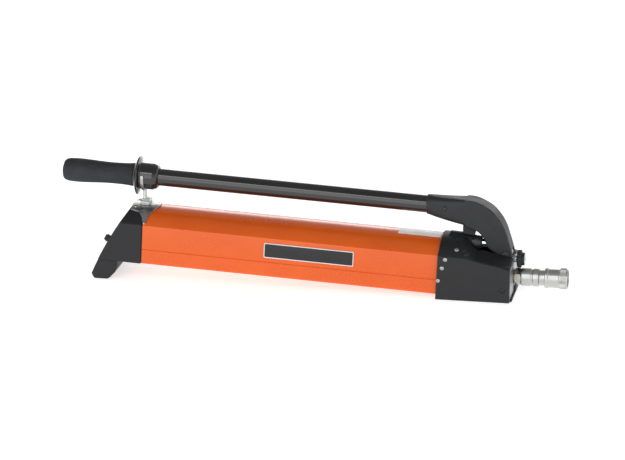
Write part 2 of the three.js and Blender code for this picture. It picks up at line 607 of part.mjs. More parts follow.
// ---- Outlet and quick coupler ----
add(pump, 'outlet_seal', ring(headFront + gap, headFront + 1.3, 7.3, 11.4, 0, outletAxis, 24), finish.brass);
add(pump, 'outlet_adaptor', cut(
  join(
    rod('x', 6.9, headFront - 12, headFront + 3, 0, outletAxis, 24),
    hexagon(22, headFront + 1.6, hexFront, 0, outletAxis),
    rod('x', 7.6, hexFront - 1, hexFront + 12, 0, outletAxis, 24),
  ),
  rod('x', 3, headFront - 20, hexFront + 20, 0, outletAxis, 16),
), finish.zinc);

const bodyEnd = 366;
add(pump, 'coupler_body', turned([
  [hexFront + gap, 7.9], [hexFront + gap, 12.2], [hexFront + 1.6, 13.2], [hexFront + 14.6, 13.2],
  [hexFront + 15.4, 12.4], [hexFront + 17, 12.4], [hexFront + 18, 13.2], [hexFront + 26, 13.2],
  [hexFront + 27, 11.4], [339.4, 11.4], [339.8, 12.9], [340.8, 12.9], [341.2, 11.4],
  [bodyEnd, 11.4], [bodyEnd, 9.2], [hexFront + 24, 9.2], [hexFront + 18, 5.6],
  [hexFront + 12.6, 5.6], [hexFront + 12.6, 7.9], [hexFront + gap, 7.9],
], 0, outletAxis, 28), finish.zinc);
const sleeveStart = 338;
add(pump, 'coupler_sleeve', turned([
  [sleeveStart, 13.3], [sleeveStart, 14.2], [sleeveStart + 1, 15], [sleeveStart + 4.4, 15],
  [sleeveStart + 5.4, 13.9], [couplerEnd - 13, 13.9], [couplerEnd - 12.2, 14.7], [couplerEnd - 1, 14.7],
  [couplerEnd, 13.8], [couplerEnd, 11.7], [362, 11.7], [360.6, 13.2], [sleeveStart, 13.3],
], 0, outletAxis, 28), finish.zinc);
add(pump, 'sleeve_spring', spring(12.4, 0.45, 17.2, 4).translate(342, 0, outletAxis), finish.steel);
add(pump, 'coupler_poppet', turned([
  [337, 0], [337, 4], [343, 5.4], [352, 5.4], [357, 8.9], [362.4, 8.9], [363, 8.2], [363, 0],
], 0, outletAxis, 28), finish.steel);

export default pump;
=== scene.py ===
# %% [markdown]
# # A hydraulic hand pump, piece by piece
# A hand pump pushes oil into a hose. A long lever stands over an orange oil tank and works a small
# plunger in the black head; a knob lets the oil back and a steel coupler takes the hose. The solids
# of every piece are already fixed, so this lesson only gives them their finer shapes and finishes.

# %% Load the solids
import json
import math

import bmesh
import bpy
from mathutils import Matrix, Vector


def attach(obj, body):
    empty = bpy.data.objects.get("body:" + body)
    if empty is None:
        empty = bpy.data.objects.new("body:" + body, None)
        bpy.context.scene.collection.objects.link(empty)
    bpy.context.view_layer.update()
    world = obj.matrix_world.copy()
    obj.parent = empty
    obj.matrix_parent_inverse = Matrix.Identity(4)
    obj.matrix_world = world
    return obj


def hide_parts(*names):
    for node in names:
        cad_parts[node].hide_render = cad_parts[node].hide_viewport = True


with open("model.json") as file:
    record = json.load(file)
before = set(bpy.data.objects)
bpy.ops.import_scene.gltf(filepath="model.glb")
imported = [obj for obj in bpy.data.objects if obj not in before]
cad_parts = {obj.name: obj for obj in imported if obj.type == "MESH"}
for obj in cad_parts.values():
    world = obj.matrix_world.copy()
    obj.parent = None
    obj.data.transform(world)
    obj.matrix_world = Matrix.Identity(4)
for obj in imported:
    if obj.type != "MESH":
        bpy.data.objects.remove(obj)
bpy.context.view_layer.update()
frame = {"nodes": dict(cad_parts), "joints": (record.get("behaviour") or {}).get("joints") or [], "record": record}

joints = {joint["name"]: joint for joint in frame["joints"]}

# %% [markdown]
# ## Where things are
# Drawings of pumps are in millimetres and Blender works in metres, so shapes are drawn in
# millimetres and scaled once, as each mesh is made. The tank and the handle slope down towards the
# head by the same small angle. A matrix for each keeps their drawings level and simple: the tank is
# drawn lying flat, and the tube is drawn along its own axis, measured from the lever's pivot.

# %% Sizes and places
MM = 0.001
TILT = math.radians(2.8)
pivot = Vector(joints["lever_pivot"]["pos_m"]) / MM
LEVEL = Matrix.Identity(4)
TANK_X, TANK_Z = 188.3, 5.5  # the origin of the tank's drawing, near its head end
ON_TANK = Matrix.Translation((TANK_X, 0, TANK_Z)) @ Matrix.Rotation(TILT, 4, "Y")
AT_PIVOT = Matrix.Translation(pivot)
TUBE_HEIGHT = 61.3
ON_TUBE = AT_PIVOT @ Matrix.Rotation(TILT, 4, "Y") @ Matrix.Translation((0, 0, TUBE_HEIGHT))
COUPLER_Z = 25.5
RELEASE_Z = 52.0
PLUNGER_Z = 73.5
ON_COUPLER = Matrix.Translation((0, 0, COUPLER_Z))
ON_RELEASE = Matrix.Translation((0, 0, RELEASE_Z))
ON_PLUNGER = Matrix.Translation((0, 0, PLUNGER_Z))
filler = joints["filler_turn"]
AT_FILLER = (Matrix.Translation(Vector(filler["pos_m"]) / MM)
             @ Vector((1, 0, 0)).rotation_difference(Vector(filler["axis"])).to_matrix().to_4x4())
print("pivot at", tuple(round(v, 1) for v in pivot), "mm")

# %% [markdown]
# ## Light, floor and camera
# The pump stands on a table that glows from below, so that it hardly throws a shadow, as tools are
# shown in a catalogue. The room is white all round and darker overhead. A low lamp behind the pump is
# mirrored along the top of the crown, and a large low one in front lights the sides. A narrow, higher
# one draws the long highlight on the tube. The camera stands far back with a long lens, so the lines
# stay almost parallel, a little right of square and looking slightly down.

# %% Studio
scene = bpy.context.scene
scene.view_settings.view_transform = "Standard"


def linear(colour):
    """A colour written as an sRGB hex value, as the linear red, green and blue that shaders use."""
    parts = [int(colour[i:i + 2], 16) / 255 for i in (1, 3, 5)]
    return [p / 12.92 if p <= 0.04045 else ((p + 0.055) / 1.055) ** 2.4 for p in parts] + [1.0]


def add_node(tree, kind, inputs=None, **settings):
    """Adds one node, sets its properties, and fills its sockets with values or with links."""
    made = tree.nodes.new(kind)
    for name, value in settings.items():
        setattr(made, name, value)
    for key, value in (inputs or {}).items():
        if isinstance(value, bpy.types.NodeSocket):
            tree.links.new(value, made.inputs[key])
        else:
            made.inputs[key].default_value = value
    return made


def aim(thing, target):
    thing.rotation_euler = (Vector(target) - thing.location).to_track_quat("-Z", "Y").to_euler()


def softbox(name, place, target, width, height, power):
    """A flat area lamp that faces a point."""
    lamp = bpy.data.lights.new(name, "AREA")
    lamp.shape = "RECTANGLE"
    lamp.size, lamp.size_y = width, height
    lamp.energy = power
    made = bpy.data.objects.new(name, lamp)
    made.location = place
    aim(made, target)
    scene.collection.objects.link(made)


middle = (0, 0, 0.08)
softbox("low_front_softbox", (-0.5, -2.6, 0.75), middle, 1.9, 1.9, 14)
softbox("strip_softbox", (-0.45, -2.3, 1.9), middle, 2.0, 0.45, 9)
softbox("back_softbox", (0, 3.0, 0.95), middle, 3.2, 0.8, 20)
softbox("right_softbox", (2.6, -0.9, 0.9), middle, 0.9, 0.9, 5)

world = bpy.data.worlds.new("white_room")
scene.world = world
world.use_nodes = True
room = world.node_tree
background = room.nodes["Background"]
background.inputs["Color"].default_value = linear("#ffffff")
direction = add_node(room, "ShaderNodeTexCoord").outputs["Generated"]
height = add_node(room, "ShaderNodeSeparateXYZ", {0: direction}).outputs["Z"]
fall = add_node(room, "ShaderNodeMapRange", {"Value": height, "From Min": 0.12, "From Max": 0.7,
                                             "To Min": 1.0, "To Max": 0.3}).outputs[0]
room.links.new(fall, background.inputs["Strength"])

# %% Camera
VIEW_FROM = (math.radians(10.5), math.radians(17))  # to the right of square, and above level
VIEW_TARGET = Vector((-0.00175, 0, 0.0783))
VIEW_DISTANCE = 5.0
VIEW_WIDTH = 0.9058  # metres across the picture at the target
camera = bpy.data.objects.new("camera", bpy.data.cameras.new("camera"))
camera.data.sensor_width = 36
camera.data.lens = 36 * VIEW_DISTANCE / VIEW_WIDTH
side, up = VIEW_FROM
camera.location = VIEW_TARGET + VIEW_DISTANCE * Vector(
    (math.sin(side) * math.cos(up), -math.cos(side) * math.cos(up), math.sin(up)))
aim(camera, VIEW_TARGET)
scene.collection.objects.link(camera)
scene.camera = camera

# %% [markdown]
# ## Finishes
# A real finish is never one flat colour. Every finish here starts from two close colours that drift
# into each other in slow clouds, then a fine relief in the surface itself, then a roughness that
# varies with that relief. Turned and milled metal also has lines from the tool. Castings and
# mouldings rub pale along their edges. One function lays these out, so a finish is a short list of
# real sizes: how far apart the clouds are, how coarse the grain is and how deep, in millimetres.

# %% The layout that all finishes share
WAVE_PERIOD = 2 * math.pi / 20  # the spacing of a Wave Texture's bands at scale 1


def finish(name, colours, clouds, grain, relief, roughness, metallic=0.0, coat=0.0, specular=0.5,
           lines=None, edge=None, stretch=(1, 1, 1)):
    """A procedural finish. lines is (pitch, depth) of tool marks across X, edge the worn colour."""
    material = bpy.data.materials.new(name)
    material.use_nodes = True
    tree = material.node_tree
    shader = tree.nodes["Principled BSDF"]
    place = add_node(tree, "ShaderNodeTexCoord").outputs["Object"]
    drawn_out = add_node(tree, "ShaderNodeMapping", {"Vector": place, "Scale": stretch}).outputs[0]
    slow = add_node(tree, "ShaderNodeTexNoise",
                    {"Vector": drawn_out, "Scale": 1 / (clouds * MM), "Detail": 4.0}).outputs["Fac"]
    fine = add_node(tree, "ShaderNodeTexNoise",
                    {"Vector": drawn_out, "Scale": 1 / (grain * MM), "Detail": 2.0}).outputs["Fac"]
    cloudy = add_node(tree, "ShaderNodeMapRange",
                      {"Value": slow, "From Min": 0.35, "From Max": 0.65}).outputs[0]
    colour = add_node(tree, "ShaderNodeMix", {0: cloudy, 6: linear(colours[0]), 7: linear(colours[1])},
                      data_type="RGBA").outputs[2]
    if edge:
        bare = add_node(tree, "ShaderNodeNewGeometry").outputs["Pointiness"]
        rubbed = add_node(tree, "ShaderNodeMapRange",
                          {"Value": bare, "From Min": 0.515, "From Max": 0.60, "To Max": 0.75})
        patchy = add_node(tree, "ShaderNodeMath", {0: rubbed.outputs[0], 1: cloudy},
                          operation="MULTIPLY").outputs[0]
        colour = add_node(tree, "ShaderNodeMix", {0: patchy, 6: colour, 7: linear(edge)},
                          data_type="RGBA").outputs[2]
    tree.links.new(colour, shader.inputs["Base Color"])
    mixed = add_node(tree, "ShaderNodeMath", {0: fine, 1: slow}, operation="ADD").outputs[0]
    dull = add_node(tree, "ShaderNodeMapRange",
                    {"Value": mixed, "From Min": 0.7, "From Max": 1.3,
                     "To Min": roughness[0], "To Max": roughness[1]}).outputs[0]
    tree.links.new(dull, shader.inputs["Roughness"])
    bump = add_node(tree, "ShaderNodeBump", {"Height": fine, "Distance": relief * MM})
    if lines:
        pitch, depth = lines
        marks = add_node(tree, "ShaderNodeTexWave",
                         {"Vector": place, "Scale": WAVE_PERIOD / (pitch * MM), "Distortion": 0.6,
                          "Detail": 2.0, "Detail Scale": 2.0}).outputs["Fac"]
        bump = add_node(tree, "ShaderNodeBump",
                        {"Height": marks, "Distance": depth * MM, "Normal": bump.outputs[0]})
    tree.links.new(bump.outputs[0], shader.inputs["Normal"])
    shader.inputs["Metallic"].default_value = metallic
    shader.inputs["Coat Weight"].default_value = coat
    shader.inputs["Coat Roughness"].default_value = 0.12
    if not metallic:
        shader.inputs["Specular IOR Level"].default_value = specular
    return material


# %% [markdown]
# ### Paints and plastics
# The tank is extruded aluminium with a glossy orange powder coat. Powder melts as it cures, which
# leaves a shallow orange peel a few millimetres across and a clear skin that mirrors the lamps. The
# lever is cast and coated in satin black, so the sand grain shows through. The covers are moulded in
# black plastic from a spark-etched tool, which is duller. The tube has a plain gloss enamel.

# %% Paints and plastics
orange_coat = finish("orange_powder_coat", ("#e56112", "#df5a0d"), clouds=60, grain=2.6, relief=0.005,
                     roughness=(0.2, 0.3), coat=0.2, specular=0.4)
cast_black = finish("satin_black_casting", ("#1f2022", "#27282b"), clouds=18, grain=1.1, relief=0.06,
                    roughness=(0.42, 0.58), specular=0.4, edge="#5c5e62")
# The etched grain is about 0.2 mm on the real cover; it is drawn at 0.8 mm so that it can be seen.
moulded_black = finish("etched_black_nylon", ("#1a1b1d", "#202124"), clouds=25, grain=0.8, relief=0.03,
                       roughness=(0.46, 0.62), specular=0.4, edge="#4b4d50")
gloss_black = finish("gloss_black_enamel", ("#151517", "#1a1a1c"), clouds=40, grain=2.0, relief=0.003,
                     roughness=(0.1, 0.16), coat=0.6, stretch=(0.3, 1, 1))
panel_black = finish("black_vinyl_film", ("#17181a", "#1d1e20"), clouds=30, grain=1.4, relief=0.004,
                     roughness=(0.26, 0.34))
panel_pale = finish("white_vinyl_film", ("#e2e3e4", "#d6d7d9"), clouds=20, grain=1.4, relief=0.004,
                    roughness=(0.3, 0.4))
label_silver = finish("silver_label_film", ("#f0efec", "#e6e5e1"), clouds=16, grain=1.2, relief=0.004,
                      roughness=(0.3, 0.42))

# %% [markdown]
# ### Rubber
# Rubber has no shine of its own worth the name. Its surface is soft and slightly dusty, so its two
# colours lie close together and its roughness is high. The seals are smooth nitrile, which is blacker.

# %% Rubber
grip_rubber = finish("matt_grip_rubber", ("#2c2d30", "#37383b"), clouds=14, grain=0.9, relief=0.05,
                     roughness=(0.68, 0.85), specular=0.3, stretch=(0.6, 1, 1))
nitrile = finish("smooth_nitrile", ("#121213", "#19191a"), clouds=8, grain=0.7, relief=0.01,
                 roughness=(0.5, 0.62), specular=0.4)

# %% [markdown]
# ### Metals
# Zinc plate is bright but cloudy, with a faint cool and warm drift from its passivating bath. Turned
# steel keeps a fine thread-like line from the tool at each turn, and milled aluminium keeps broader
# ones. Hard chrome is ground smooth, and brass is only used for bushes, seals and the strainer. Metals
# keep the shader's own index of refraction, since their colour already says how they reflect.

# %% Metals
# Tool marks are about 0.1 mm apart on the real pieces; they are drawn at 0.6 to 1.5 mm to be seen.
zinc = finish("bright_zinc_plate", ("#a9acaf", "#b8b6b0"), clouds=7, grain=0.8, relief=0.01,
              roughness=(0.28, 0.42), metallic=1.0)
turned_zinc = finish("turned_zinc_plated_steel", ("#b8bab9", "#c4c3be"), clouds=9, grain=0.9, relief=0.006,
                     roughness=(0.26, 0.4), metallic=1.0, lines=(0.6, 0.008))
milled = finish("milled_aluminium", ("#a2a5a8", "#b0b2b4"), clouds=14, grain=0.7, relief=0.006,
                roughness=(0.3, 0.45), metallic=1.0, lines=(1.5, 0.01))
bright_steel = finish("ground_steel", ("#a9acb0", "#b7b9bc"), clouds=8, grain=0.6, relief=0.006,
                      roughness=(0.22, 0.36), metallic=1.0, lines=(0.6, 0.004))
dark_steel = finish("black_oxide_steel", ("#3a3b3e", "#46474b"), clouds=6, grain=0.8, relief=0.012,
                    roughness=(0.34, 0.5), metallic=0.7)
chrome = finish("hard_chrome", ("#d6d8db", "#dfe1e3"), clouds=20, grain=1.5, relief=0.002,
                roughness=(0.08, 0.14), metallic=1.0)
brass = finish("plain_brass", ("#b98f45", "#c79f55"), clouds=9, grain=0.9, relief=0.008,
               roughness=(0.25, 0.4), metallic=1.0, lines=(0.8, 0.005))
print(len(bpy.data.materials), "finishes")

# %% [markdown]
# ### The solids that stay
# Pieces sealed inside the pump, such as the tie rod, the valve balls and the suction tube, already
# have the right shape. They keep their solids and only take a finish, chosen by material slot. The
# slots are the record's own names for the finishes, and every piece made later takes its finish by one
# as well, unless it is given one of its own.

# %% Finish every solid by its slot
SLOTS = {
    "orange_paint": orange_coat, "black_plastic": moulded_black, "gloss_black": gloss_black,
    "black_casting": cast_black, "grip_rubber": grip_rubber, "seal_rubber": nitrile, "zinc": zinc,
    "steel": bright_steel, "chrome": chrome, "aluminium": milled, "brass": brass,
    "label_film": label_silver,
}
for part in frame["record"]["subparts"]:
    solid = frame["nodes"][part["node"]]
    solid.data.materials.clear()
    solid.data.materials.append(SLOTS[part["material_slot"]])

# %% [markdown]
# ## Making shapes
# Nearly everything on a pump is either turned on a lathe or cut from an outline. Both start from a
# short list of corner points. The corners of a real piece are never perfectly sharp, so one function
# rounds them in the outline, and a bevel rounds the edges that the outline leaves. Where a casting
# flows from one form into another, the rough forms are joined, rebuilt as an even skin of small
# squares and smoothed, which rounds inside and outside corners together, as sand or a mould does.

# %% Outlines
def spline(points, steps=6):
    """A smooth line through the points (Catmull-Rom)."""
    ends = [points[0], *points, points[-1]]
    line = []
    for a, b, c, d in zip(ends, ends[1:], ends[2:], ends[3:]):
        for i in range(steps):
            t = i / steps
            line.append(tuple(
                0.5 * (2 * q + (r - p) * t + (2 * p - 5 * q + 4 * r - s) * t * t
                       + (3 * q - p - 3 * r + s) * t ** 3)
                for p, q, r, s in zip(a, b, c, d)))
    return line + [tuple(points[-1])]


def rounded(points, radius, steps=4, closed=True):
    """An outline with each corner rounded, by less where its sides are short."""
    line = []
    count = len(points)
    for i, corner in enumerate(points):
        if not closed and i in (0, count - 1):
            line.append(tuple(corner))
            continue
        here = Vector(corner)
        back = Vector(points[i - 1]) - here
        ahead = Vector(points[(i + 1) % count]) - here
        bend = math.pi - back.angle(ahead)
        reach = min(radius * math.tan(bend / 2), 0.45 * back.length, 0.45 * ahead.length)
        if bend < 0.12 or reach < 1e-3:
            line.append(tuple(corner))
            continue
        start = here + back.normalized() * reach
        end = here + ahead.normalized() * reach
        for k in range(steps + 1):
            t = k / steps
            line.append(tuple((1 - t) ** 2 * start + 2 * t * (1 - t) * here + t * t * end))
    return line


def arc(centre, radius, start, end, steps):
    return [(centre[0] + radius * math.cos(start + (end - start) * i / steps),
             centre[1] + radius * math.sin(start + (end - start) * i / steps)) for i in range(steps + 1)]


# %% From points and faces to an object
def wall(rings, around, closed=False):
    """The faces between rings of points that follow each other."""
    faces = []
    for i in range(rings if closed else rings - 1):
        for k in range(around):
            here, ahead, after = i * around, (i + 1) % rings * around, (k + 1) % around
            faces.append([here + k, here + after, ahead + after, ahead + k])
    return faces


def mesh_object(name, points, faces, place=LEVEL):
    """A closed mesh, drawn in millimetres in its own place, with its faces turned outwards."""
    mesh = bpy.data.meshes.new(name)
    mesh.from_pydata([(place @ Vector(p)) * MM for p in points], [], faces)
    work = bmesh.new()
    work.from_mesh(mesh)
    bmesh.ops.remove_doubles(work, verts=work.verts, dist=1e-7)
    bmesh.ops.recalc_face_normals(work, faces=work.faces)
    work.to_mesh(mesh)
    work.free()
    made = bpy.data.objects.new(name, mesh)
    scene.collection.objects.link(made)
    return made


def applied(piece):
    """Turns a piece's live modifiers into its mesh."""
    bpy.context.view_layer.update()
    ready = piece.evaluated_get(bpy.context.evaluated_depsgraph_get())
    old = piece.data
    piece.data = bpy.data.meshes.new_from_object(ready)
    piece.modifiers.clear()
    bpy.data.meshes.remove(old)
    return piece


def modified(piece, kind, **settings):
    modifier = piece.modifiers.new(kind.lower(), kind)
    for name, value in settings.items():
        setattr(modifier, name, value)
    return piece


def softened(piece, width, segments=3):
    """Rounds the edges that are sharper than 40 degrees."""
    modified(piece, "BEVEL", width=width * MM, segments=segments, limit_method="ANGLE",
             angle_limit=math.radians(40))
    return applied(piece)


# %% [markdown]
# Turned pieces are spun round the X axis from a profile of distances along it and radii. A profile
# that begins and ends on the axis makes a solid piece, and one that doesn't makes a ring. Flutes are
# the scallops that fingers grip: the radius dips a set number of times on the way round.

# %% Turned pieces and extruded ones
def turned(name, profile, place=LEVEL, radius=0.5, sides=96, flutes=None, steps=4):
    """flutes is (count, depth, smallest radius that they cut)."""
    solid_piece = profile[0][1] == 0 and profile[-1][1] == 0
    line = rounded(profile, radius, steps, closed=not solid_piece) if radius else profile
    points = []
    for x, r in line:
        for k in range(sides):
            angle = 2 * math.pi * k / sides
            dip = 0.0
            if flutes and r > flutes[2]:
                dip = flutes[1] * max(0.0, math.cos(flutes[0] * angle)) ** 1.5
            points.append((x, (r - dip) * math.cos(angle), (r - dip) * math.sin(angle)))
    faces = wall(len(line), sides, closed=not solid_piece)
    return mesh_object(name, points, faces, place)


def extruded(name, outline, axis, low, high, place=LEVEL, edge=0.0, segments=3):
    """An outline given thickness. Its two numbers are the other two axes, in X, Y, Z order."""
    order = {"X": (2, 0, 1), "Y": (0, 2, 1), "Z": (0, 1, 2)}[axis]
    points = [[(a, b, level)[i] for i in order] for level in (low, high) for a, b in outline]
    count = len(outline)
    faces = [list(range(count)), list(range(count, 2 * count))] + wall(2, count)
    piece = mesh_object(name, points, faces, place)
    return softened(piece, edge, segments) if edge else piece


def bar_line(x0, x1, outer, inner=0):
    """The profile of a plain rod, or of a plain ring."""
    return [(x0, inner), (x0, outer), (x1, outer), (x1, inner)]


def box_outline(a0, a1, b0, b1, radius=0.0):
    corners = [(a0, b0), (a1, b0), (a1, b1), (a0, b1)]
    return rounded(corners, radius) if radius else corners


# %% Joining, carving and casting
def combined(piece, tools, how="DIFFERENCE"):
    """Carves the tools out of a piece, or joins them to it, and removes them."""
    for tool in tools:
        modified(piece, "BOOLEAN", object=tool, operation=how, solver="MANIFOLD")
    applied(piece)
    for tool in tools:
        bpy.data.objects.remove(tool)
    return piece


def cast(piece, grid, passes):
    """Rebuilds a rough form as an even skin, then smooths it."""
    modified(piece, "REMESH", mode="VOXEL", voxel_size=grid * MM)
    modified(piece, "SMOOTH", factor=0.5, iterations=passes)
    return applied(piece)


def drilled(axis, radius, low, high, a, b, place=LEVEL, sides=40):
    """A plain rod along an axis, used as a drill."""
    return extruded("drill", arc((a, b), radius, 0, 2 * math.pi, sides)[:-1], axis, low, high, place)


# %% [markdown]
# Every finished piece goes through the same last step. It takes its finish, usually its slot's, is
# shaded smooth except at its sharp edges, rides on its body, and takes the place of the solids it
# stands for. The step also prints how many triangles the piece has, which shows what each shape costs.

# %% The last step for a piece
def place_piece(piece, slot, *nodes, body="pump_body", material=None, sharp=38):
    """Gives a piece its finish, usually its slot's, and its body, in place of its solids."""
    piece.data.materials.clear()
    piece.data.materials.append(material or SLOTS[slot])
    piece.data.polygons.foreach_set("material_index", [0] * len(piece.data.polygons))
    piece.data.shade_smooth()
    piece.data.set_sharp_from_angle(angle=math.radians(sharp))
    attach(piece, body)
    if nodes:
        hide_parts(*nodes)
    piece.data.calc_loop_triangles()
    print(f"{piece.name}: {len(piece.data.loop_triangles)} triangles")
    return piece


# %% [markdown]
# ## The oil tank
# The tank is one length of extruded aluminium: flat sides, a rounded floor, a domed crown and a fine
# groove along each side. The same section runs its whole length, so the shape is a rule and Geometry
# Nodes can make it. A flat ring with the section's shape goes in and comes out drawn to length, and
# the length stays a number that can be changed.

# %% The section
TANK_HALF, TANK_SIDE, CROWN_RISE, TANK_WALL = 47.0, 58.5, 18.8, 3.0
TANK_REAR, TANK_FRONT = -435.0, 12.0
CROWN_RADIUS = (TANK_HALF ** 2 + CROWN_RISE ** 2) / (2 * CROWN_RISE)
CROWN_CENTRE = TANK_SIDE + CROWN_RISE - CROWN_RADIUS


def tank_section(offset, groove=0.0, corner=5.0, crown=32):
    """The tank's section in Y and Z, grown by an offset."""
    half, radius = TANK_HALF + offset, CROWN_RADIUS + offset
    shoulder = math.acos(half / radius)
    right = arc((half - corner, corner - offset), corner, -math.pi / 2, 0, 8)
    right += [(half - g, z) for g, z in ((0, 22.2), (groove, 22.7), (groove, 23.3), (0, 23.8))]
    edge = arc((0, CROWN_CENTRE), radius, shoulder, math.pi / 2, crown)
    right += [(half, edge[0][1] - 0.9), (edge[1][0] * 0.3 + edge[0][0] * 0.7 + 0.12, edge[0][1] + 0.2)]
    right += edge[1:-1]
    return right + [(0, CROWN_CENTRE + radius)] + [(-y, z) for y, z in reversed(right)]


def crown_height(x, y, offset):
    """The height of the crown, grown by an offset, over a point of the floor."""
    level = CROWN_CENTRE + math.sqrt((CROWN_RADIUS + offset) ** 2 - y ** 2)
    return TANK_Z + level / math.cos(TILT) - math.tan(TILT) * (x - TANK_X)


# %% A node tree that draws a section out to a length
def node_tree(name, **sockets):
    """An empty tree for a modifier, with its named inputs."""
    tree = bpy.data.node_groups.new(name, "GeometryNodeTree")
    tree.interface.new_socket(name="Geometry", in_out="OUTPUT", socket_type="NodeSocketGeometry")
    tree.interface.new_socket(name="Geometry", in_out="INPUT", socket_type="NodeSocketGeometry")
    for label, kind in sockets.items():
        tree.interface.new_socket(name=label, in_out="INPUT", socket_type="NodeSocket" + kind)
    return tree, add_node(tree, "NodeGroupInput").outputs


def grown(piece, tree, **values):
    """Runs a node tree on a piece and keeps the plain mesh that comes out."""
    modifier = piece.modifiers.new("nodes", "NODES")
    modifier.node_group = tree
    sockets = {item.name: item.identifier for item in tree.interface.items_tree if item.in_out == "INPUT"}
    for name, value in values.items():
        modifier[sockets[name]] = value
    return applied(piece)


def end_tree(tree, geometry, coat):
    """The last nodes of a tree: copies become plain geometry, and the finish goes on."""
    real = add_node(tree, "GeometryNodeRealizeInstances", {"Geometry": geometry})
    coated = add_node(tree, "GeometryNodeSetMaterial", {"Geometry": real.outputs[0], "Material": coat})
    add_node(tree, "NodeGroupOutput", {"Geometry": coated.outputs[0]})


draw_tree, given = node_tree("draw_out", Along="Vector", Finish="Material")
drawn = add_node(draw_tree, "GeometryNodeExtrudeMesh",
                 {"Mesh": given["Geometry"], "Offset": given["Along"], "Individual": False})
closed = add_node(draw_tree, "GeometryNodeJoinGeometry", {"Geometry": drawn.outputs["Mesh"]})
start = add_node(draw_tree, "GeometryNodeFlipFaces", {"Mesh": given["Geometry"]}).outputs[0]
draw_tree.links.new(start, closed.inputs["Geometry"])
one = add_node(draw_tree, "GeometryNodeMergeByDistance",
               {"Geometry": closed.outputs[0], "Distance": 1e-6})
end_tree(draw_tree, one.outputs[0], given["Finish"])

# %% The tank
outside, inside = tank_section(0, groove=0.8), tank_section(-TANK_WALL)
ring_points = [(TANK_REAR, y, z) for y, z in outside + inside]
tank = mesh_object("tank_extrusion", ring_points, wall(2, len(outside)), ON_TANK)
along = (ON_TANK.to_3x3() @ Vector((TANK_FRONT - TANK_REAR, 0, 0))) * MM
grown(tank, draw_tree, Along=along, Finish=orange_coat)
place_piece(tank, "orange_paint", "tank_shell", sharp=30)

# %% [markdown]
# ### Film on the tank
# Each side carries a blank black panel with a pale edge, and a blank silver label lies across the
# crown behind the head. A film is a fraction of a millimetre thick with rounded corners. The pale
# edge is a second film a little proud of the first, so that it is a shape and not only a colour.

# %% Side panels and crown label
def outwards(face, start, end):
    """A range of Y on one side of the pump, as its lowest and highest value."""
    return sorted((face * start, face * end))


PANEL = (-255.0, -123.5, 29.8, 52.0)
PANEL_EDGE = 1.3
x0, x1, z0, z1 = PANEL
panel_line = box_outline(*PANEL, 2.2)
window = box_outline(x0 + PANEL_EDGE, x1 - PANEL_EDGE, z0 + PANEL_EDGE, z1 - PANEL_EDGE, 1.4)
for side_name, face in (("near", -1), ("far", 1)):
    skin = outwards(face, TANK_HALF - 0.05, TANK_HALF + 0.8)
    panel = extruded(f"panel_{side_name}", panel_line, "Y", *skin, ON_TANK, edge=0.25)
    place_piece(panel, "gloss_black", f"side_panel_{side_name}", material=panel_black)
    low, high = outwards(face, TANK_HALF + 0.5, TANK_HALF + 0.98)
    border = extruded(f"panel_edge_{side_name}", panel_line, "Y", low, high, ON_TANK)
    combined(border, [extruded("window", window, "Y", low - 1, high + 1, ON_TANK)])
    place_piece(border, "label_film", material=panel_pale)


def crown_strip(name, x0, x1, half, inner, outer, edge):
    """A strip that lies across the crown, following its curve."""
    turn = math.asin(half / (CROWN_RADIUS + inner))
    top = math.pi / 2
    section = arc((0, CROWN_CENTRE), CROWN_RADIUS + outer, top - turn, top + turn, 24)
    section += arc((0, CROWN_CENTRE), CROWN_RADIUS + inner, top + turn, top - turn, 24)
    return extruded(name, section, "X", x0, x1, ON_TANK, edge)


place_piece(crown_strip("crown_film", -66, -4, 13, -0.1, 0.7, edge=0.25), "label_film", "crown_label")

# %% [markdown]
# ## The rear cap and its foot
# A black moulding closes the tank's rear end and stands on the floor. Its upper part has the tank's
# own section, cut by a long curved slope, and its lower part is a narrower foot that leans back. Both
# are rough forms joined and then cast, so that the slope rolls softly into the sides.

# %% Rear cap
CAP_FRONT = TANK_REAR - 1.7
slope_top, slope_bend, slope_end = Vector((-264.5, 107.4)), Vector((-299.8, 58.9)), Vector((-322.5, 7.2))
slope = [tuple((1 - t) ** 2 * slope_top + 2 * t * (1 - t) * slope_bend + t * t * slope_end)
         for t in (step / 24 for step in range(25))]
cap = extruded("rear_cap", tank_section(0.6), "X", CAP_FRONT - 100, CAP_FRONT, ON_TANK)
combined(cap, [extruded("slope", slope + [(-303, 20), (-220, 17), (-220, 110)], "Y", -60, 60)], "INTERSECT")
foot = extruded("foot", slope[17:] + [(-318, 0), (-297.5, 0), (-294, 3), (-287, 10.5), (-283.2, 19),
                                      (-281.5, 37)], "Y", -43.5, 43.5, edge=1.6)
combined(cap, [foot], "UNION")
CLIP_X, CLIP_BASE = -248.0, 112.0
CLIP_SCREWS = [(-260.5, -16.0), (-260.5, 16.0)]
combined(cap, [
    extruded("pocket", tank_section(-6), "X", CAP_FRONT - 17, CAP_FRONT + 1, ON_TANK),
    drilled("X", 4.4, -34, 4, 0, 0, AT_FILLER),
    *[drilled("Z", 2.2, 80, 130, x, y) for x, y in CLIP_SCREWS],
])
cast(cap, 0.9, 3)
place_piece(cap, "black_plastic", "rear_foot_cap", sharp=80)

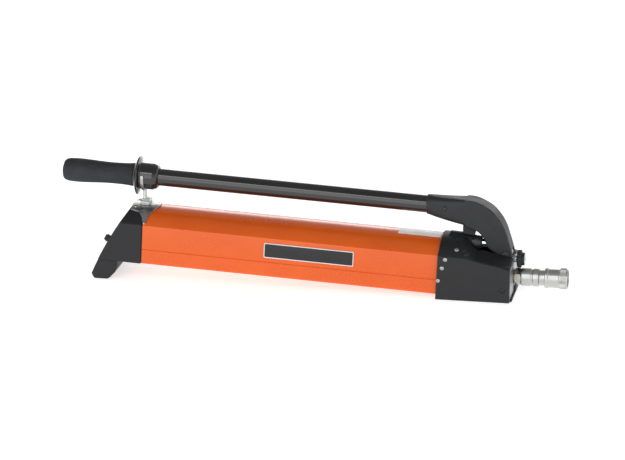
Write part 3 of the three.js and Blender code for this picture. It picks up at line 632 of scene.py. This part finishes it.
# %% The plate over the joint between the tank and the cap
half_kite = [(-266, -24), (-254, -27), (-247, -36), (-243.5, -46), (-240.5, -46), (-236, -30), (-226.5, -8)]
kite = rounded(half_kite + [(x, -y) for x, y in reversed(half_kite)], 2.0)
joint_plate = extruded("joint_plate", tank_section(2.15), "X", TANK_REAR - 30, TANK_REAR + 30, ON_TANK)
combined(joint_plate, [extruded("under", tank_section(0.75), "X", TANK_REAR - 31, TANK_REAR + 31, ON_TANK)])
combined(joint_plate, [extruded("kite", kite, "Z", 82, 130)], "INTERSECT")
softened(joint_plate, 0.35, 2)
place_piece(joint_plate, "zinc", "rear_band")

# %% Filler plug and its seal
plug_profile = [(-20, 0), (-20, 4), (2.6, 4), (2.6, 5.4), (8.4, 5.4), (8.4, 4.2), (10, 4.2), (10, 0)]
plug = turned("filler_knob", plug_profile, AT_FILLER, radius=0.6, flutes=(18, 0.45, 5.0), sides=144)
place_piece(plug, "steel", "filler_plug", body="filler", material=dark_steel)
seal = turned("filler_ring", bar_line(1, 2.3, 5, 4.3), AT_FILLER, radius=0.5)
place_piece(seal, "seal_rubber", "filler_seal")

# %% [markdown]
# ## The clip that holds the handle down
# A zinc-plated saddle sits on the crown. A stem stands on it and carries a narrow strip bent to a U,
# and the collar of the hand guard drops into the U. The saddle is pressed sheet, so it is cast in fine
# squares for its rolled corners. The strip is cut sheet and keeps a crisp thin edge.

# %% Saddle and strip
saddle = extruded("saddle", box_outline(-11, 11, 60, CLIP_BASE, 2.0), "X", CLIP_X - 6.5, CLIP_X + 6.5,
                  edge=0.6)
combined(saddle, [
    extruded("crown", tank_section(2.4), "X", TANK_REAR - 60, TANK_REAR + 60, ON_TANK),
    extruded("hollow", box_outline(-9, 9, 60, CLIP_BASE - 2.4), "X", CLIP_X - 4.5, CLIP_X + 4.5),
])
cast(saddle, 0.5, 3)
place_piece(saddle, "zinc", "clip_saddle", sharp=80)
STRIP_X = -250.0
collar_z = pivot.z + TUBE_HEIGHT / math.cos(TILT) - (STRIP_X - pivot.x) * math.tan(TILT)
arm_top = collar_z + 5.1
bend = (arc((0, collar_z), 21.4, math.pi, 2 * math.pi, 48) + [(21.4, arm_top), (19.9, arm_top)]
        + arc((0, collar_z), 19.9, 2 * math.pi, math.pi, 48) + [(-19.9, arm_top), (-21.4, arm_top)])
clip = extruded("clip_strip", bend, "X", STRIP_X - 2.2, STRIP_X + 2.2)
combined(clip, [
    extruded("stem", box_outline(-6, 6, CLIP_BASE + 1, collar_z - 20.6), "X", STRIP_X - 1.9, STRIP_X + 1.9),
    extruded("foot", box_outline(CLIP_X - 6, CLIP_X + 6, -9, 9, 1.5), "Z", CLIP_BASE - 0.1,
             CLIP_BASE + 1.8),
], "UNION")
softened(clip, 0.3, 2)
place_piece(clip, "zinc", "handle_clip")

# %% [markdown]
# ## The head's cover
# The cover is the most shaped piece of the pump. At the rear it carries on the tank's crown, then it
# drops in a soft step to a deck that slopes down to the sides, and a round nose for the plunger runs
# along its top. Its height is a rule that depends on the place, so its skin is a grid lifted to that
# height. The nose is turned, the wells are carved, and casting rounds all the corners at once.

# %% The cover's height
HEAD_REAR, HEAD_FRONT, COVER_HALF, COVER_WALL = 185.6, 293.3, 51.0, 4.0
SLOT_HALF, SLOT_START = 16.8, 234.6
DECK_HALF = 40.0  # the deck rolls over into the sides beyond this
SHOULDER_LINE = [(222, 60), (241, 58.6), (252, 56), (273, 53), (HEAD_FRONT, 46.5)]


def mix(a, b, t):
    return a + (b - a) * t


def span(value, low, high):
    return min(max((value - low) / (high - low), 0.0), 1.0)


def shoulder_height(x):
    for (x0, z0), (x1, z1) in zip(SHOULDER_LINE, SHOULDER_LINE[1:]):
        if x < x1:
            return mix(z0, z1, span(x, x0, x1))
    return SHOULDER_LINE[-1][1]


def cover_height(x, y):
    """The height of the cover's skin over a point of the floor."""
    across = min(abs(y), COVER_HALF)
    crest = mix(62.4, 51.5, (x - 243) / (HEAD_FRONT - 243))
    inner = min(mix(67, 58.5, (x - 252) / (HEAD_FRONT - 252)), 67)
    flat = mix(inner, crest, span(across, SLOT_HALF, DECK_HALF))
    roll = math.sqrt(1 - span(across, DECK_HALF, COVER_HALF) ** 2)
    t = span(x, 222, 245)
    return mix(crown_height(x, across, 3), mix(shoulder_height(x), flat, roll), t * t * (3 - 2 * t))


def mound(name, x0, x1, half, floor, height, columns, rows):
    """A closed block whose top is lifted to a height over each point, finer towards its sides."""
    xs = [mix(x0, x1, i / columns) for i in range(columns + 1)]
    ys = [half * math.sin(math.pi / 2 * mix(-1, 1, j / rows)) for j in range(rows + 1)]
    points = [(x, y, height(x, y)) for x in xs for y in ys] + [(x, y, floor) for x in xs for y in ys]
    top, wide = len(xs) * len(ys), len(ys)
    faces = []
    for i in range(columns):
        for j in range(rows):
            k = i * wide + j
            faces.append([k, k + wide, k + wide + 1, k + 1])
            faces.append([top + k, top + k + 1, top + k + wide + 1, top + k + wide])
    for j in range(rows):
        for k in (j, columns * wide + j):
            faces.append([k, k + 1, top + k + 1, top + k])
    for i in range(columns):
        for k in (i * wide, i * wide + rows):
            faces.append([k, k + wide, top + k + wide, top + k])
    return mesh_object(name, points, faces)


# %% Build the cover
cover = mound("head_shroud", HEAD_REAR, HEAD_FRONT, COVER_HALF, 0, cover_height, 90, 84)
nose = [(200, 0), (200, 15.5), (208, 15.1), (224, 13.9), (232, 11.6), (234, 11.3), (234, 0)]
combined(cover, [turned("nose", nose, ON_PLUNGER, radius=1.2)], "UNION")
combined(cover, [
    extruded("recess", tank_section(0.4), "X", -20, TANK_FRONT + 4, ON_TANK),
    mound("cavity", 203.6, HEAD_FRONT + 5, COVER_HALF - COVER_WALL, -1,
          lambda x, y: cover_height(min(x, HEAD_FRONT), y) - COVER_WALL, 40, 40),
    extruded("slot", box_outline(-SLOT_HALF, SLOT_HALF, 40, 120, 1.0), "X", SLOT_START, HEAD_FRONT + 5),
    extruded("rear", [(180, -5), (HEAD_REAR, -5), (HEAD_REAR + 5, 100), (180, 100)], "Y", -60, 60),
    drilled("X", 9.8, 202, 240, 0, PLUNGER_Z),
])
SOCKET_SCREW = (282.6, 18.3)
PLUG_SPOT = (229.0, 42.0)
plug_height = cover_height(*PLUG_SPOT)
plug_normal = Vector((0.08, 0.58, 0.81)).normalized()
for face in (-1, 1):
    well = drilled("Y", 3.7, *outwards(face, COVER_HALF - 2.2, COVER_HALF + 5), *SOCKET_SCREW)
    outward = Vector((plug_normal.x, face * plug_normal.y, plug_normal.z))
    dimple = (Matrix.Translation((PLUG_SPOT[0], face * PLUG_SPOT[1], plug_height))
              @ Vector((1, 0, 0)).rotation_difference(outward).to_matrix().to_4x4())
    combined(cover, [well, drilled("X", 5.2, -1.2, 6, 0, 0, dimple)])
cast(cover, 0.95, 3)
place_piece(cover, "black_plastic", "head_cover", sharp=80)

# %% [markdown]
# ## Screws
# The same pan-head screw holds the cover in several places, and smaller copies hold the clip. One
# screw is made with its hexagon socket, and a small node tree puts a copy on each point of a mesh,
# turned to the direction stored there. Adding a screw is then only one more point in a list.

# %% One screw, and a tree that sets it out
def hexagon(across_flats, centre=(0, 0)):
    return arc(centre, across_flats / math.sqrt(3), math.pi / 6, math.pi / 6 + 2 * math.pi, 6)[:-1]


def screw_template(radius, height):
    line = [(-0.7, 0), (-0.7, radius), (0.45 * height, radius), (0.85 * height, 0.76 * radius),
            (height, 0.45 * radius), (height, 0)]
    head = turned("screw", line, radius=0.5, sides=36)
    return combined(head, [extruded("socket", hexagon(0.85 * radius), "X", 0.35 * height, height + 1)])


screw_tree, given = node_tree("set_out_screws", Screw="Object", Finish="Material")
outward = add_node(screw_tree, "GeometryNodeInputNamedAttribute", {"Name": "outward"},
                   data_type="FLOAT_VECTOR").outputs["Attribute"]
turned_out = add_node(screw_tree, "FunctionNodeAlignRotationToVector", {"Vector": outward}, axis="X")
screw = add_node(screw_tree, "GeometryNodeObjectInfo", {"Object": given["Screw"]}).outputs["Geometry"]
copies = add_node(screw_tree, "GeometryNodeInstanceOnPoints",
                  {"Points": given["Geometry"], "Instance": screw, "Rotation": turned_out.outputs[0]})
end_tree(screw_tree, copies.outputs[0], given["Finish"])


def both_sides(x, y, z, outward):
    """The same spot on each side of the pump, with the direction that it faces."""
    a, b, c = outward
    return [((x, face * y, z), (a, face * b, c)) for face in (-1, 1)]


def screw_set(name, spots, radius, height, slot, *nodes, material=None):
    """Screws at a list of (point, outward direction) pairs."""
    points = mesh_object(name, [spot for spot, _ in spots], [])
    stored = points.data.attributes.new("outward", "FLOAT_VECTOR", "POINT")
    for i, (_, direction) in enumerate(spots):
        stored.data[i].vector = Vector(direction).normalized()
    template = screw_template(radius, height)
    grown(points, screw_tree, Screw=template, Finish=material or SLOTS[slot])
    bpy.data.objects.remove(template)
    return place_piece(points, slot, *nodes, material=material)


# %% Set out the screws
SIDE_SCREWS = {"upper": (200.0, 60.5), "middle": (195.5, 47.5), "lower": (190.0, 28.5)}
side_spots = [spot for x, z in SIDE_SCREWS.values()
              for spot in both_sides(x, COVER_HALF - 0.1, z, (0, 1, 0))]
screw_set("side_screws", side_spots, 3.1, 1.6, "zinc",
          *[f"cover_screw_{name}_{end}" for name in SIDE_SCREWS for end in ("near", "far")])
crown_spots = both_sides(215, 39.5, cover_height(215, 39.5) - 0.1, (0.05, 0.55, 0.83))
screw_set("crown_screws", crown_spots, 3.3, 1.7, "zinc", "crown_screw_near", "crown_screw_far")
socket_spots = both_sides(SOCKET_SCREW[0], COVER_HALF - 2.3, SOCKET_SCREW[1], (0, 1, 0))
screw_set("socket_screws", socket_spots, 3.4, 1.2, "black_casting", "cover_screw_front_near",
          "cover_screw_front_far")
plug_spots = both_sides(*PLUG_SPOT, plug_height - 0.9, plug_normal)
screw_set("crown_plugs", plug_spots, 4.6, 0.8, "steel", material=dark_steel)
clip_spots = [((x, y, crown_height(x, y, 2.1)), (0.05, y / 70, 0.97)) for x, y in CLIP_SCREWS]
screw_set("clip_screws", clip_spots, 3.4, 2.0, "zinc", "clip_screw_1", "clip_screw_2")

# %% [markdown]
# ## The pump block
# Inside the cover sits a milled aluminium block. Its bare front face shows between the cover's edges,
# with the outlet, the release valve and a black cap for the relief valve on it. The block is milled, so
# it is made of plain forms with a small chamfer, joined and drilled, and never cast. The cap's raised
# black block is sized to a shaded patch low on the face, so part of its black is painted shade.

# %% Block
BLOCK_REAR, BLOCK_HALF, TONGUE_HALF = 205.6, 46.7, 9.2
block = mound("valve_block", BLOCK_REAR, HEAD_FRONT, BLOCK_HALF, 0,
              lambda x, y: min(52, cover_height(x, y) - COVER_WALL - 0.3), 24, 24)
softened(block, 0.6, 2)
tongue = box_outline(pivot.x - 12, HEAD_FRONT, 48, 56)
combined(block, [
    extruded("spigot", tank_section(-TANK_WALL - 0.3), "X", -6, TANK_FRONT + 8, ON_TANK),
    extruded("neck", box_outline(-8, 8, 50, PLUNGER_Z), "X", BLOCK_REAR, SLOT_START - 0.6),
    drilled("X", 9.5, BLOCK_REAR, SLOT_START - 0.6, 0, PLUNGER_Z),
    extruded("tongue", tongue, "Y", -TONGUE_HALF, TONGUE_HALF),
    drilled("Y", 8.5, -TONGUE_HALF, TONGUE_HALF, pivot.x, pivot.z),
], "UNION")
combined(block, [
    *[extruded("fork_slot", box_outline(pivot.x - 13, HEAD_FRONT + 1, 48.5, 70), "Y",
               *outwards(face, TONGUE_HALF, SLOT_HALF)) for face in (1, -1)],
    drilled("Y", 4.8, -12, 12, pivot.x, pivot.z),
    drilled("X", 6.2, 206, 240, 0, PLUNGER_Z),
    drilled("X", 7.2, 280, HEAD_FRONT + 1, 0, COUPLER_Z),
    drilled("X", 3.2, 262, HEAD_FRONT + 1, 0, RELEASE_Z),
    drilled("X", 4.3, -8, TANK_FRONT + 11, 0, 36, ON_TANK),
    drilled("X", 4.5, -8, TANK_FRONT + 13, 0, 12, ON_TANK),
    *[drilled("Z", radius, low, high, x, 0) for x, top in ((222, 71), (252, 46))
      for radius, low, high in ((5.2, 20, top), (7, -1, 20.5))],
])
place_piece(block, "aluminium", "pump_block", sharp=30)
# The cap's raised block, from Y 0 to 34 and up to Z 10, darkens a shaded patch low on the front face: it is a real
# cap, and its black there is also painted shade.
cap_and_shade_line = [(-46, 0.6), (46, 0.6), (46, 3.2), (34, 3.2), (34, 10), (0, 10), (0, 3.2), (-46, 3.2)]
relief = extruded("relief_cap", rounded(cap_and_shade_line, 1.0), "X", HEAD_FRONT, HEAD_FRONT + 2.5, edge=0.4)
place_piece(relief, "black_plastic", "relief_valve_cap")

# %% [markdown]
# ## Plunger, yoke and gland
# The plunger is a ground, chromed rod that slides through a tapered black gland. At its front end a
# steel yoke takes the lever's cross pin in an upright slot, which lets the pin move along its circle
# while the rod moves in a line.

# %% Plunger group
rod_profile = [(212, 0), (212, 6), (253, 6), (253, 2.9), (256.7, 2.9), (256.7, 0)]
rod_piece = turned("plunger_rod", rod_profile, ON_PLUNGER, radius=0.7)
place_piece(rod_piece, "chrome", "plunger", body="plunger")
YOKE_X = 262.3
yoke_line = [(-9, 69.2), (9, 69.2), (9, 90), (4.5, 94.5), (-4.5, 94.5), (-9, 90)]
yoke = extruded("yoke", rounded([(YOKE_X + x, z) for x, z in yoke_line], 1.2), "Y", -8.6, 8.6, edge=0.6)
slot_line = arc((YOKE_X, 86.2), 5.2, 0, math.pi, 14)
slot_line += arc((YOKE_X, 77.6), 5.2, math.pi, 2 * math.pi, 14)
combined(yoke, [
    extruded("slot", slot_line, "Y", -10, 10),
    drilled("X", 3.2, YOKE_X - 10, YOKE_X - 5, 0, PLUNGER_Z),
])
place_piece(yoke, "steel", "plunger_yoke", body="plunger")
gland_profile = [(234.6, 0), (234.6, 11.2), (245.4, 9.8), (247, 8.6), (247, 0)]
gland = turned("plunger_gland", gland_profile, ON_PLUNGER, radius=0.9)
combined(gland, [drilled("X", 6.2, 230, 250, 0, PLUNGER_Z)])
place_piece(gland, "black_casting", "gland_nut", material=dark_steel)

# %% [markdown]
# ## The lever
# The lever is a forked casting. It grows out of the head, bends through a right angle and ends in a
# round socket for the tube. Its outer and inner lines are smooth curves through a few points, and a
# neck of rings turns slowly from the socket's circle into the arm's rounded box. The cheeks are
# hollowed between and the whole is cast. A rubber buffer on the cover's nose stops the lever.

# %% Lever casting
outer_line = spline([(-60, 79.3), (-44, 77.6), (-24, 68), (-10.3, 54), (-1.7, 39), (3.4, 24),
                     (8.2, 8.2)], 5)
inner_line = spline([(-24.6, 9.1), (-28.3, 15.5), (-31.5, 23), (-37.5, 30.6), (-46, 36), (-60, 40.8)], 5)
eye = arc((0, 0), 10, 0.2, -math.pi, 24)
LEVER_HALF, FORK_HALF = 16.0, 9.6


def neck(name, rings=26, around=80):
    """Rings from the socket's circle to the arm's rounded box, which is a curve of a higher power."""
    points = []
    for i in range(rings + 1):
        x = mix(-115.9, -55, i / rings)
        t = span(x, -113, -60)
        middle = mix(TUBE_HEIGHT / math.cos(TILT) - x * math.tan(TILT), 60.1, t)
        wide, high, power = mix(14.5, LEVER_HALF, t), mix(14.5, 19.2, t), mix(1.0, 0.3, math.sqrt(t))
        for k in range(around):
            c, s = math.cos(2 * math.pi * k / around), math.sin(2 * math.pi * k / around)
            points.append((x, wide * math.copysign(abs(c) ** power, c),
                           middle + high * math.copysign(abs(s) ** power, s)))
    ends = [list(range(around)), list(range(rings * around, (rings + 1) * around))]
    return mesh_object(name, points, wall(rings + 1, around) + ends, AT_PIVOT)


lever_line = outer_line + eye + inner_line
lever = extruded("lever_casting", lever_line, "Y", -LEVER_HALF, LEVER_HALF, AT_PIVOT, edge=3.2)
combined(lever, [neck("neck")], "UNION")
fork_line = [(-50, -20), (-50, 34), (-36, 42), (-24, 49.5), (-18.6, 46.5), (-13.6, 39.5), (-9.8, 32.5),
             (-6.6, 25), (-3.6, 17.5), (-0.6, 12), (2.2, 9.2), (14, 5.2), (20, 0), (20, -20)]
combined(lever, [
    extruded("fork", fork_line, "Y", -FORK_HALF, FORK_HALF, AT_PIVOT),
    drilled("X", 12.75, -125, -57, 0, 0, ON_TUBE, sides=64),
    drilled("Y", 6.4, -30, 30, 0, 0, AT_PIVOT),
    drilled("Y", 4.2, -14, 14, YOKE_X - pivot.x, 77 - pivot.z, AT_PIVOT),
    drilled("Y", 2.6, -20, -8, -92, 0, ON_TUBE),
])
cast(lever, 0.8, 4)
place_piece(lever, "black_casting", "lever_arm", body="lever", sharp=80)

# %% Buffer
buffer_line = rounded([(219, 87.4), (236.4, 85.2), (236.4, 94.9), (228, 98.2), (219, 101)], 1.8)
buffer = extruded("lever_buffer", buffer_line, "Y", -7.5, 7.5, edge=1.3)
place_piece(buffer, "grip_rubber", "rest_buffer")

# %% [markdown]
# ## Tube, hand guard and grip
# The handle is a plain steel tube in gloss enamel. Near its end a turned guard keeps the hand off the
# clip: a thin disc and a thick collar in one piece. The grip is a rubber moulding with a waist for the
# palm. All three are turned, and the grip's profile is a smooth curve through a few diameters, which
# is then sheared a little so that the grip droops.

# %% Handle
tube = turned("lever_tube", bar_line(-640, -58, 12.7, 10.2), ON_TUBE, radius=0.6)
place_piece(tube, "gloss_black", "handle_tube", body="lever")
guard_profile = [(-551, 13), (-551, 16.4), (-548, 18.6), (-546, 26.6), (-544.6, 28.5), (-543, 27.6),
                 (-541.2, 20.6), (-539.4, 19.5), (-522, 19.5), (-516.2, 17.2), (-514, 14.4), (-514, 13)]
guard = turned("guard_and_collar", guard_profile, ON_TUBE, radius=1.6, steps=6, sides=128)
place_piece(guard, "gloss_black", "hand_guard", body="lever", sharp=50)
GRIP_END, GRIP_FRONT = -656.85, -551.3
DROOP = 1.9 / (GRIP_FRONT - GRIP_END)  # the grip sinks below the tube's axis towards its end
drooping = Matrix(((1, 0, 0, 0), (0, 1, 0, 0), (DROOP, 0, 1, -GRIP_FRONT * DROOP), (0, 0, 0, 1)))
grip_profile = [(GRIP_END, 0), (GRIP_END, 9), (GRIP_END + 1.4, 13.2), (GRIP_END + 4, 15.4)]
grip_profile += spline([(GRIP_END + 9, 16.8), (-634, 17.3), (-618, 16.8), (-604, 16), (-590, 15.5),
                        (-575, 15.5), (-562, 16), (GRIP_FRONT, 17)], 5) + [(GRIP_FRONT, 0)]
grip = turned("rubber_grip", grip_profile, ON_TUBE @ drooping, radius=1.2, sides=112)
combined(grip, [drilled("X", 13.0, -640.3, -540, 0, 0, ON_TUBE, sides=112)])
place_piece(grip, "grip_rubber", "hand_grip", body="lever", sharp=50)
ACROSS = Matrix.Rotation(math.radians(90), 4, "Z")
clamp = turned("socket_clamp_screw", bar_line(-15.4, -13.1, 2.2),
               ON_TUBE @ Matrix.Translation((-92, 0, 0)) @ ACROSS, radius=0.4, sides=32)
place_piece(clamp, "steel", "clamp_screw", body="lever", material=dark_steel)

# %% [markdown]
# ## The release knob
# Turning this knob by hand lets the oil back into the tank. Its rim is scalloped for oily fingers, and
# a bright insert in its face holds it on the valve's stem.

# %% Release valve
KNOB_REAR = 297.0
knob_profile = [(0, 2.9), (0, 7), (1, 11.8), (2, 13), (6, 13), (7, 12), (7.2, 9.4), (10.6, 9.2),
                (11.4, 8.4), (11.4, 7.4), (10, 7.2), (10, 2.9)]
knob = turned("scalloped_knob", [(KNOB_REAR + x, r) for x, r in knob_profile], ON_RELEASE, radius=0.7,
              flutes=(12, 1.2, 10.5), sides=192)
place_piece(knob, "black_plastic", "release_knob", body="release_valve", sharp=45)
insert = turned("knob_washer", bar_line(KNOB_REAR + 10, KNOB_REAR + 11.5, 7.1, 3), ON_RELEASE, radius=0.4)
place_piece(insert, "zinc", "knob_insert", body="release_valve", material=turned_zinc)
stem = turned("valve_stem", bar_line(270, KNOB_REAR + 12, 2.7), ON_RELEASE, radius=0.5)
combined(stem, [extruded("key", hexagon(2.6, (0, RELEASE_Z)), "X", KNOB_REAR + 9, KNOB_REAR + 13)])
place_piece(stem, "steel", "release_stem", body="release_valve")
release_gland = turned("valve_gland", bar_line(HEAD_FRONT, KNOB_REAR - 0.2, 5.2, 3.1), ON_RELEASE,
                       radius=0.4)
place_piece(release_gland, "steel", "release_gland")

# %% [markdown]
# ## Outlet and quick coupler
# Oil leaves through a hexagon adaptor into a quick coupler. Its sleeve slides back against a spring to
# free a ring of locking balls, and its end is knurled for grip. The balls and the knurl are both one
# small piece repeated round a circle, so one node tree makes them: it turns each copy to face outwards.

# %% A tree that repeats a piece round a circle
ring_tree, given = node_tree("repeat_round_circle", Piece="Object", Count="Int", Radius="Float",
                             Centre="Vector", Finish="Material")
circle = add_node(ring_tree, "GeometryNodeMeshCircle",
                  {"Vertices": given["Count"], "Radius": given["Radius"]})
upright = add_node(ring_tree, "GeometryNodeTransform",
                   {"Geometry": circle.outputs[0], "Rotation": (0, math.pi / 2, 0)})
here = add_node(ring_tree, "GeometryNodeInputPosition").outputs[0]
facing = add_node(ring_tree, "FunctionNodeAlignRotationToVector", {"Vector": here}, axis="Z",
                  pivot_axis="X")
one = add_node(ring_tree, "GeometryNodeObjectInfo", {"Object": given["Piece"]}).outputs["Geometry"]
copies = add_node(ring_tree, "GeometryNodeInstanceOnPoints",
                  {"Points": upright.outputs[0], "Instance": one, "Rotation": facing.outputs[0]})
moved = add_node(ring_tree, "GeometryNodeTransform",
                 {"Geometry": copies.outputs[0], "Translation": given["Centre"]})
end_tree(ring_tree, moved.outputs[0], given["Finish"])


def ring_of(name, piece, count, radius, x, material):
    """Copies of a small piece round the coupler's axis, as one plain mesh."""
    made = mesh_object(name, [(0, 0, 0)], [])
    grown(made, ring_tree, Piece=piece, Count=count, Radius=radius * MM, Finish=material,
          Centre=(x * MM, 0, COUPLER_Z * MM))
    bpy.data.objects.remove(piece)
    return made


# %% Adaptor
def hexagon_nut(name, across_flats, x0, x1, place):
    """A hexagon bar with its corners turned off, which leaves a curved chamfer at both ends."""
    corner = across_flats / math.sqrt(3)
    flat = across_flats / 2
    bar = extruded(name, hexagon(across_flats), "X", x0, x1, place)
    chamfer = [(x0 - 0.1, 0), (x0 - 0.1, flat + 0.1), (x0 + 1.0, corner + 0.1), (x1 - 1.0, corner + 0.1),
               (x1 + 0.1, flat + 0.1), (x1 + 0.1, 0)]
    return combined(bar, [turned("chamfer", chamfer, place, radius=0)], "INTERSECT")


HEX_REAR, HEX_FRONT = HEAD_FRONT + 1.6, 303.7
adaptor = hexagon_nut("outlet_hexagon", 22, HEX_REAR, HEX_FRONT, ON_COUPLER)
combined(adaptor, [
    turned("thread", bar_line(281.3, HEX_REAR + 1, 6.9), ON_COUPLER),
    turned("nipple", bar_line(HEX_FRONT - 1, HEX_FRONT + 12, 7.6), ON_COUPLER),
], "UNION")
combined(adaptor, [drilled("X", 3, 270, 330, 0, COUPLER_Z)])
place_piece(adaptor, "zinc", "outlet_adaptor", material=turned_zinc, sharp=30)
washer = turned("outlet_washer", bar_line(HEAD_FRONT, HEAD_FRONT + 1.4, 10.2, 7.3), ON_COUPLER, radius=0.3)
place_piece(washer, "brass", "outlet_seal")

# %% Coupler
body_profile = [(304, 7.9), (304, 12.2), (305.3, 13.2), (318.3, 13.2), (319.1, 12.4), (320.7, 12.4),
                (321.7, 13.2), (329.7, 13.2), (330.7, 11.4), (339.4, 11.4), (339.8, 12.9), (340.8, 12.9),
                (341.2, 11.4), (366, 11.4), (366, 9.2), (327.7, 9.2), (321.7, 5.6), (316.3, 5.6),
                (316.3, 7.9)]
coupler = turned("coupler_barrel", body_profile, ON_COUPLER, radius=0.4)
place_piece(coupler, "zinc", "coupler_body", material=turned_zinc, sharp=30)
sleeve_profile = [(338, 13.3), (338, 14.2), (339, 15), (342.4, 15), (343.4, 13.9), (358.3, 13.9),
                  (359.1, 14.7), (370.3, 14.7), (371.3, 13.8), (371.3, 11.7), (362, 11.7), (360.6, 13.2)]
sleeve = turned("coupler_grip_sleeve", sleeve_profile, ON_COUPLER, radius=0.4)
place_piece(sleeve, "zinc", "coupler_sleeve", body="sleeve", material=turned_zinc, sharp=30)
ridge = extruded("ridge", [(-0.42, 0), (0, -0.42), (0.42, 0), (0, 0.42)], "X", -4.4, 4.4)
knurl = ring_of("sleeve_knurl", ridge, 64, 14.62, 364.8, turned_zinc)
place_piece(knurl, "zinc", body="sleeve", material=turned_zinc)
half_circle = [(-1.5, 0)] + arc((0, 0), 1.5, math.pi, 0, 12)[1:-1] + [(1.5, 0)]
ball = turned("ball", half_circle, radius=0, sides=24)
balls = ring_of("locking_balls", ball, 8, 9.9, 360.5, bright_steel)
place_piece(balls, "steel")
poppet_profile = [(337, 0), (337, 4), (343, 5.4), (352, 5.4), (357, 8.9), (362.4, 8.9), (363, 8.2),
                  (363, 0)]
poppet = turned("coupler_valve", poppet_profile, ON_COUPLER, radius=0.4)
place_piece(poppet, "steel", "coupler_poppet", body="poppet")

# %% [markdown]
# ## The floor
# The table is a wide white sheet lit from below. It isn't part of the pump.

# %% Floor
FLOOR_HALF, FLOOR_DROP = 9000, -0.4
floor = mesh_object("floor", [(x, y, FLOOR_DROP) for x, y in box_outline(-FLOOR_HALF, FLOOR_HALF,
                                                                         -FLOOR_HALF, FLOOR_HALF)],
                    [[0, 1, 2, 3]])
white_sheet = finish("white_paper_sweep", ("#ffffff", "#fdfdfd"), clouds=900, grain=3, relief=0.0,
                     roughness=(0.8, 0.9), specular=0.1)
glow = white_sheet.node_tree.nodes["Principled BSDF"]
glow.inputs["Emission Color"].default_value = linear("#ffffff")
glow.inputs["Emission Strength"].default_value = 0.6
floor.data.materials.append(white_sheet)
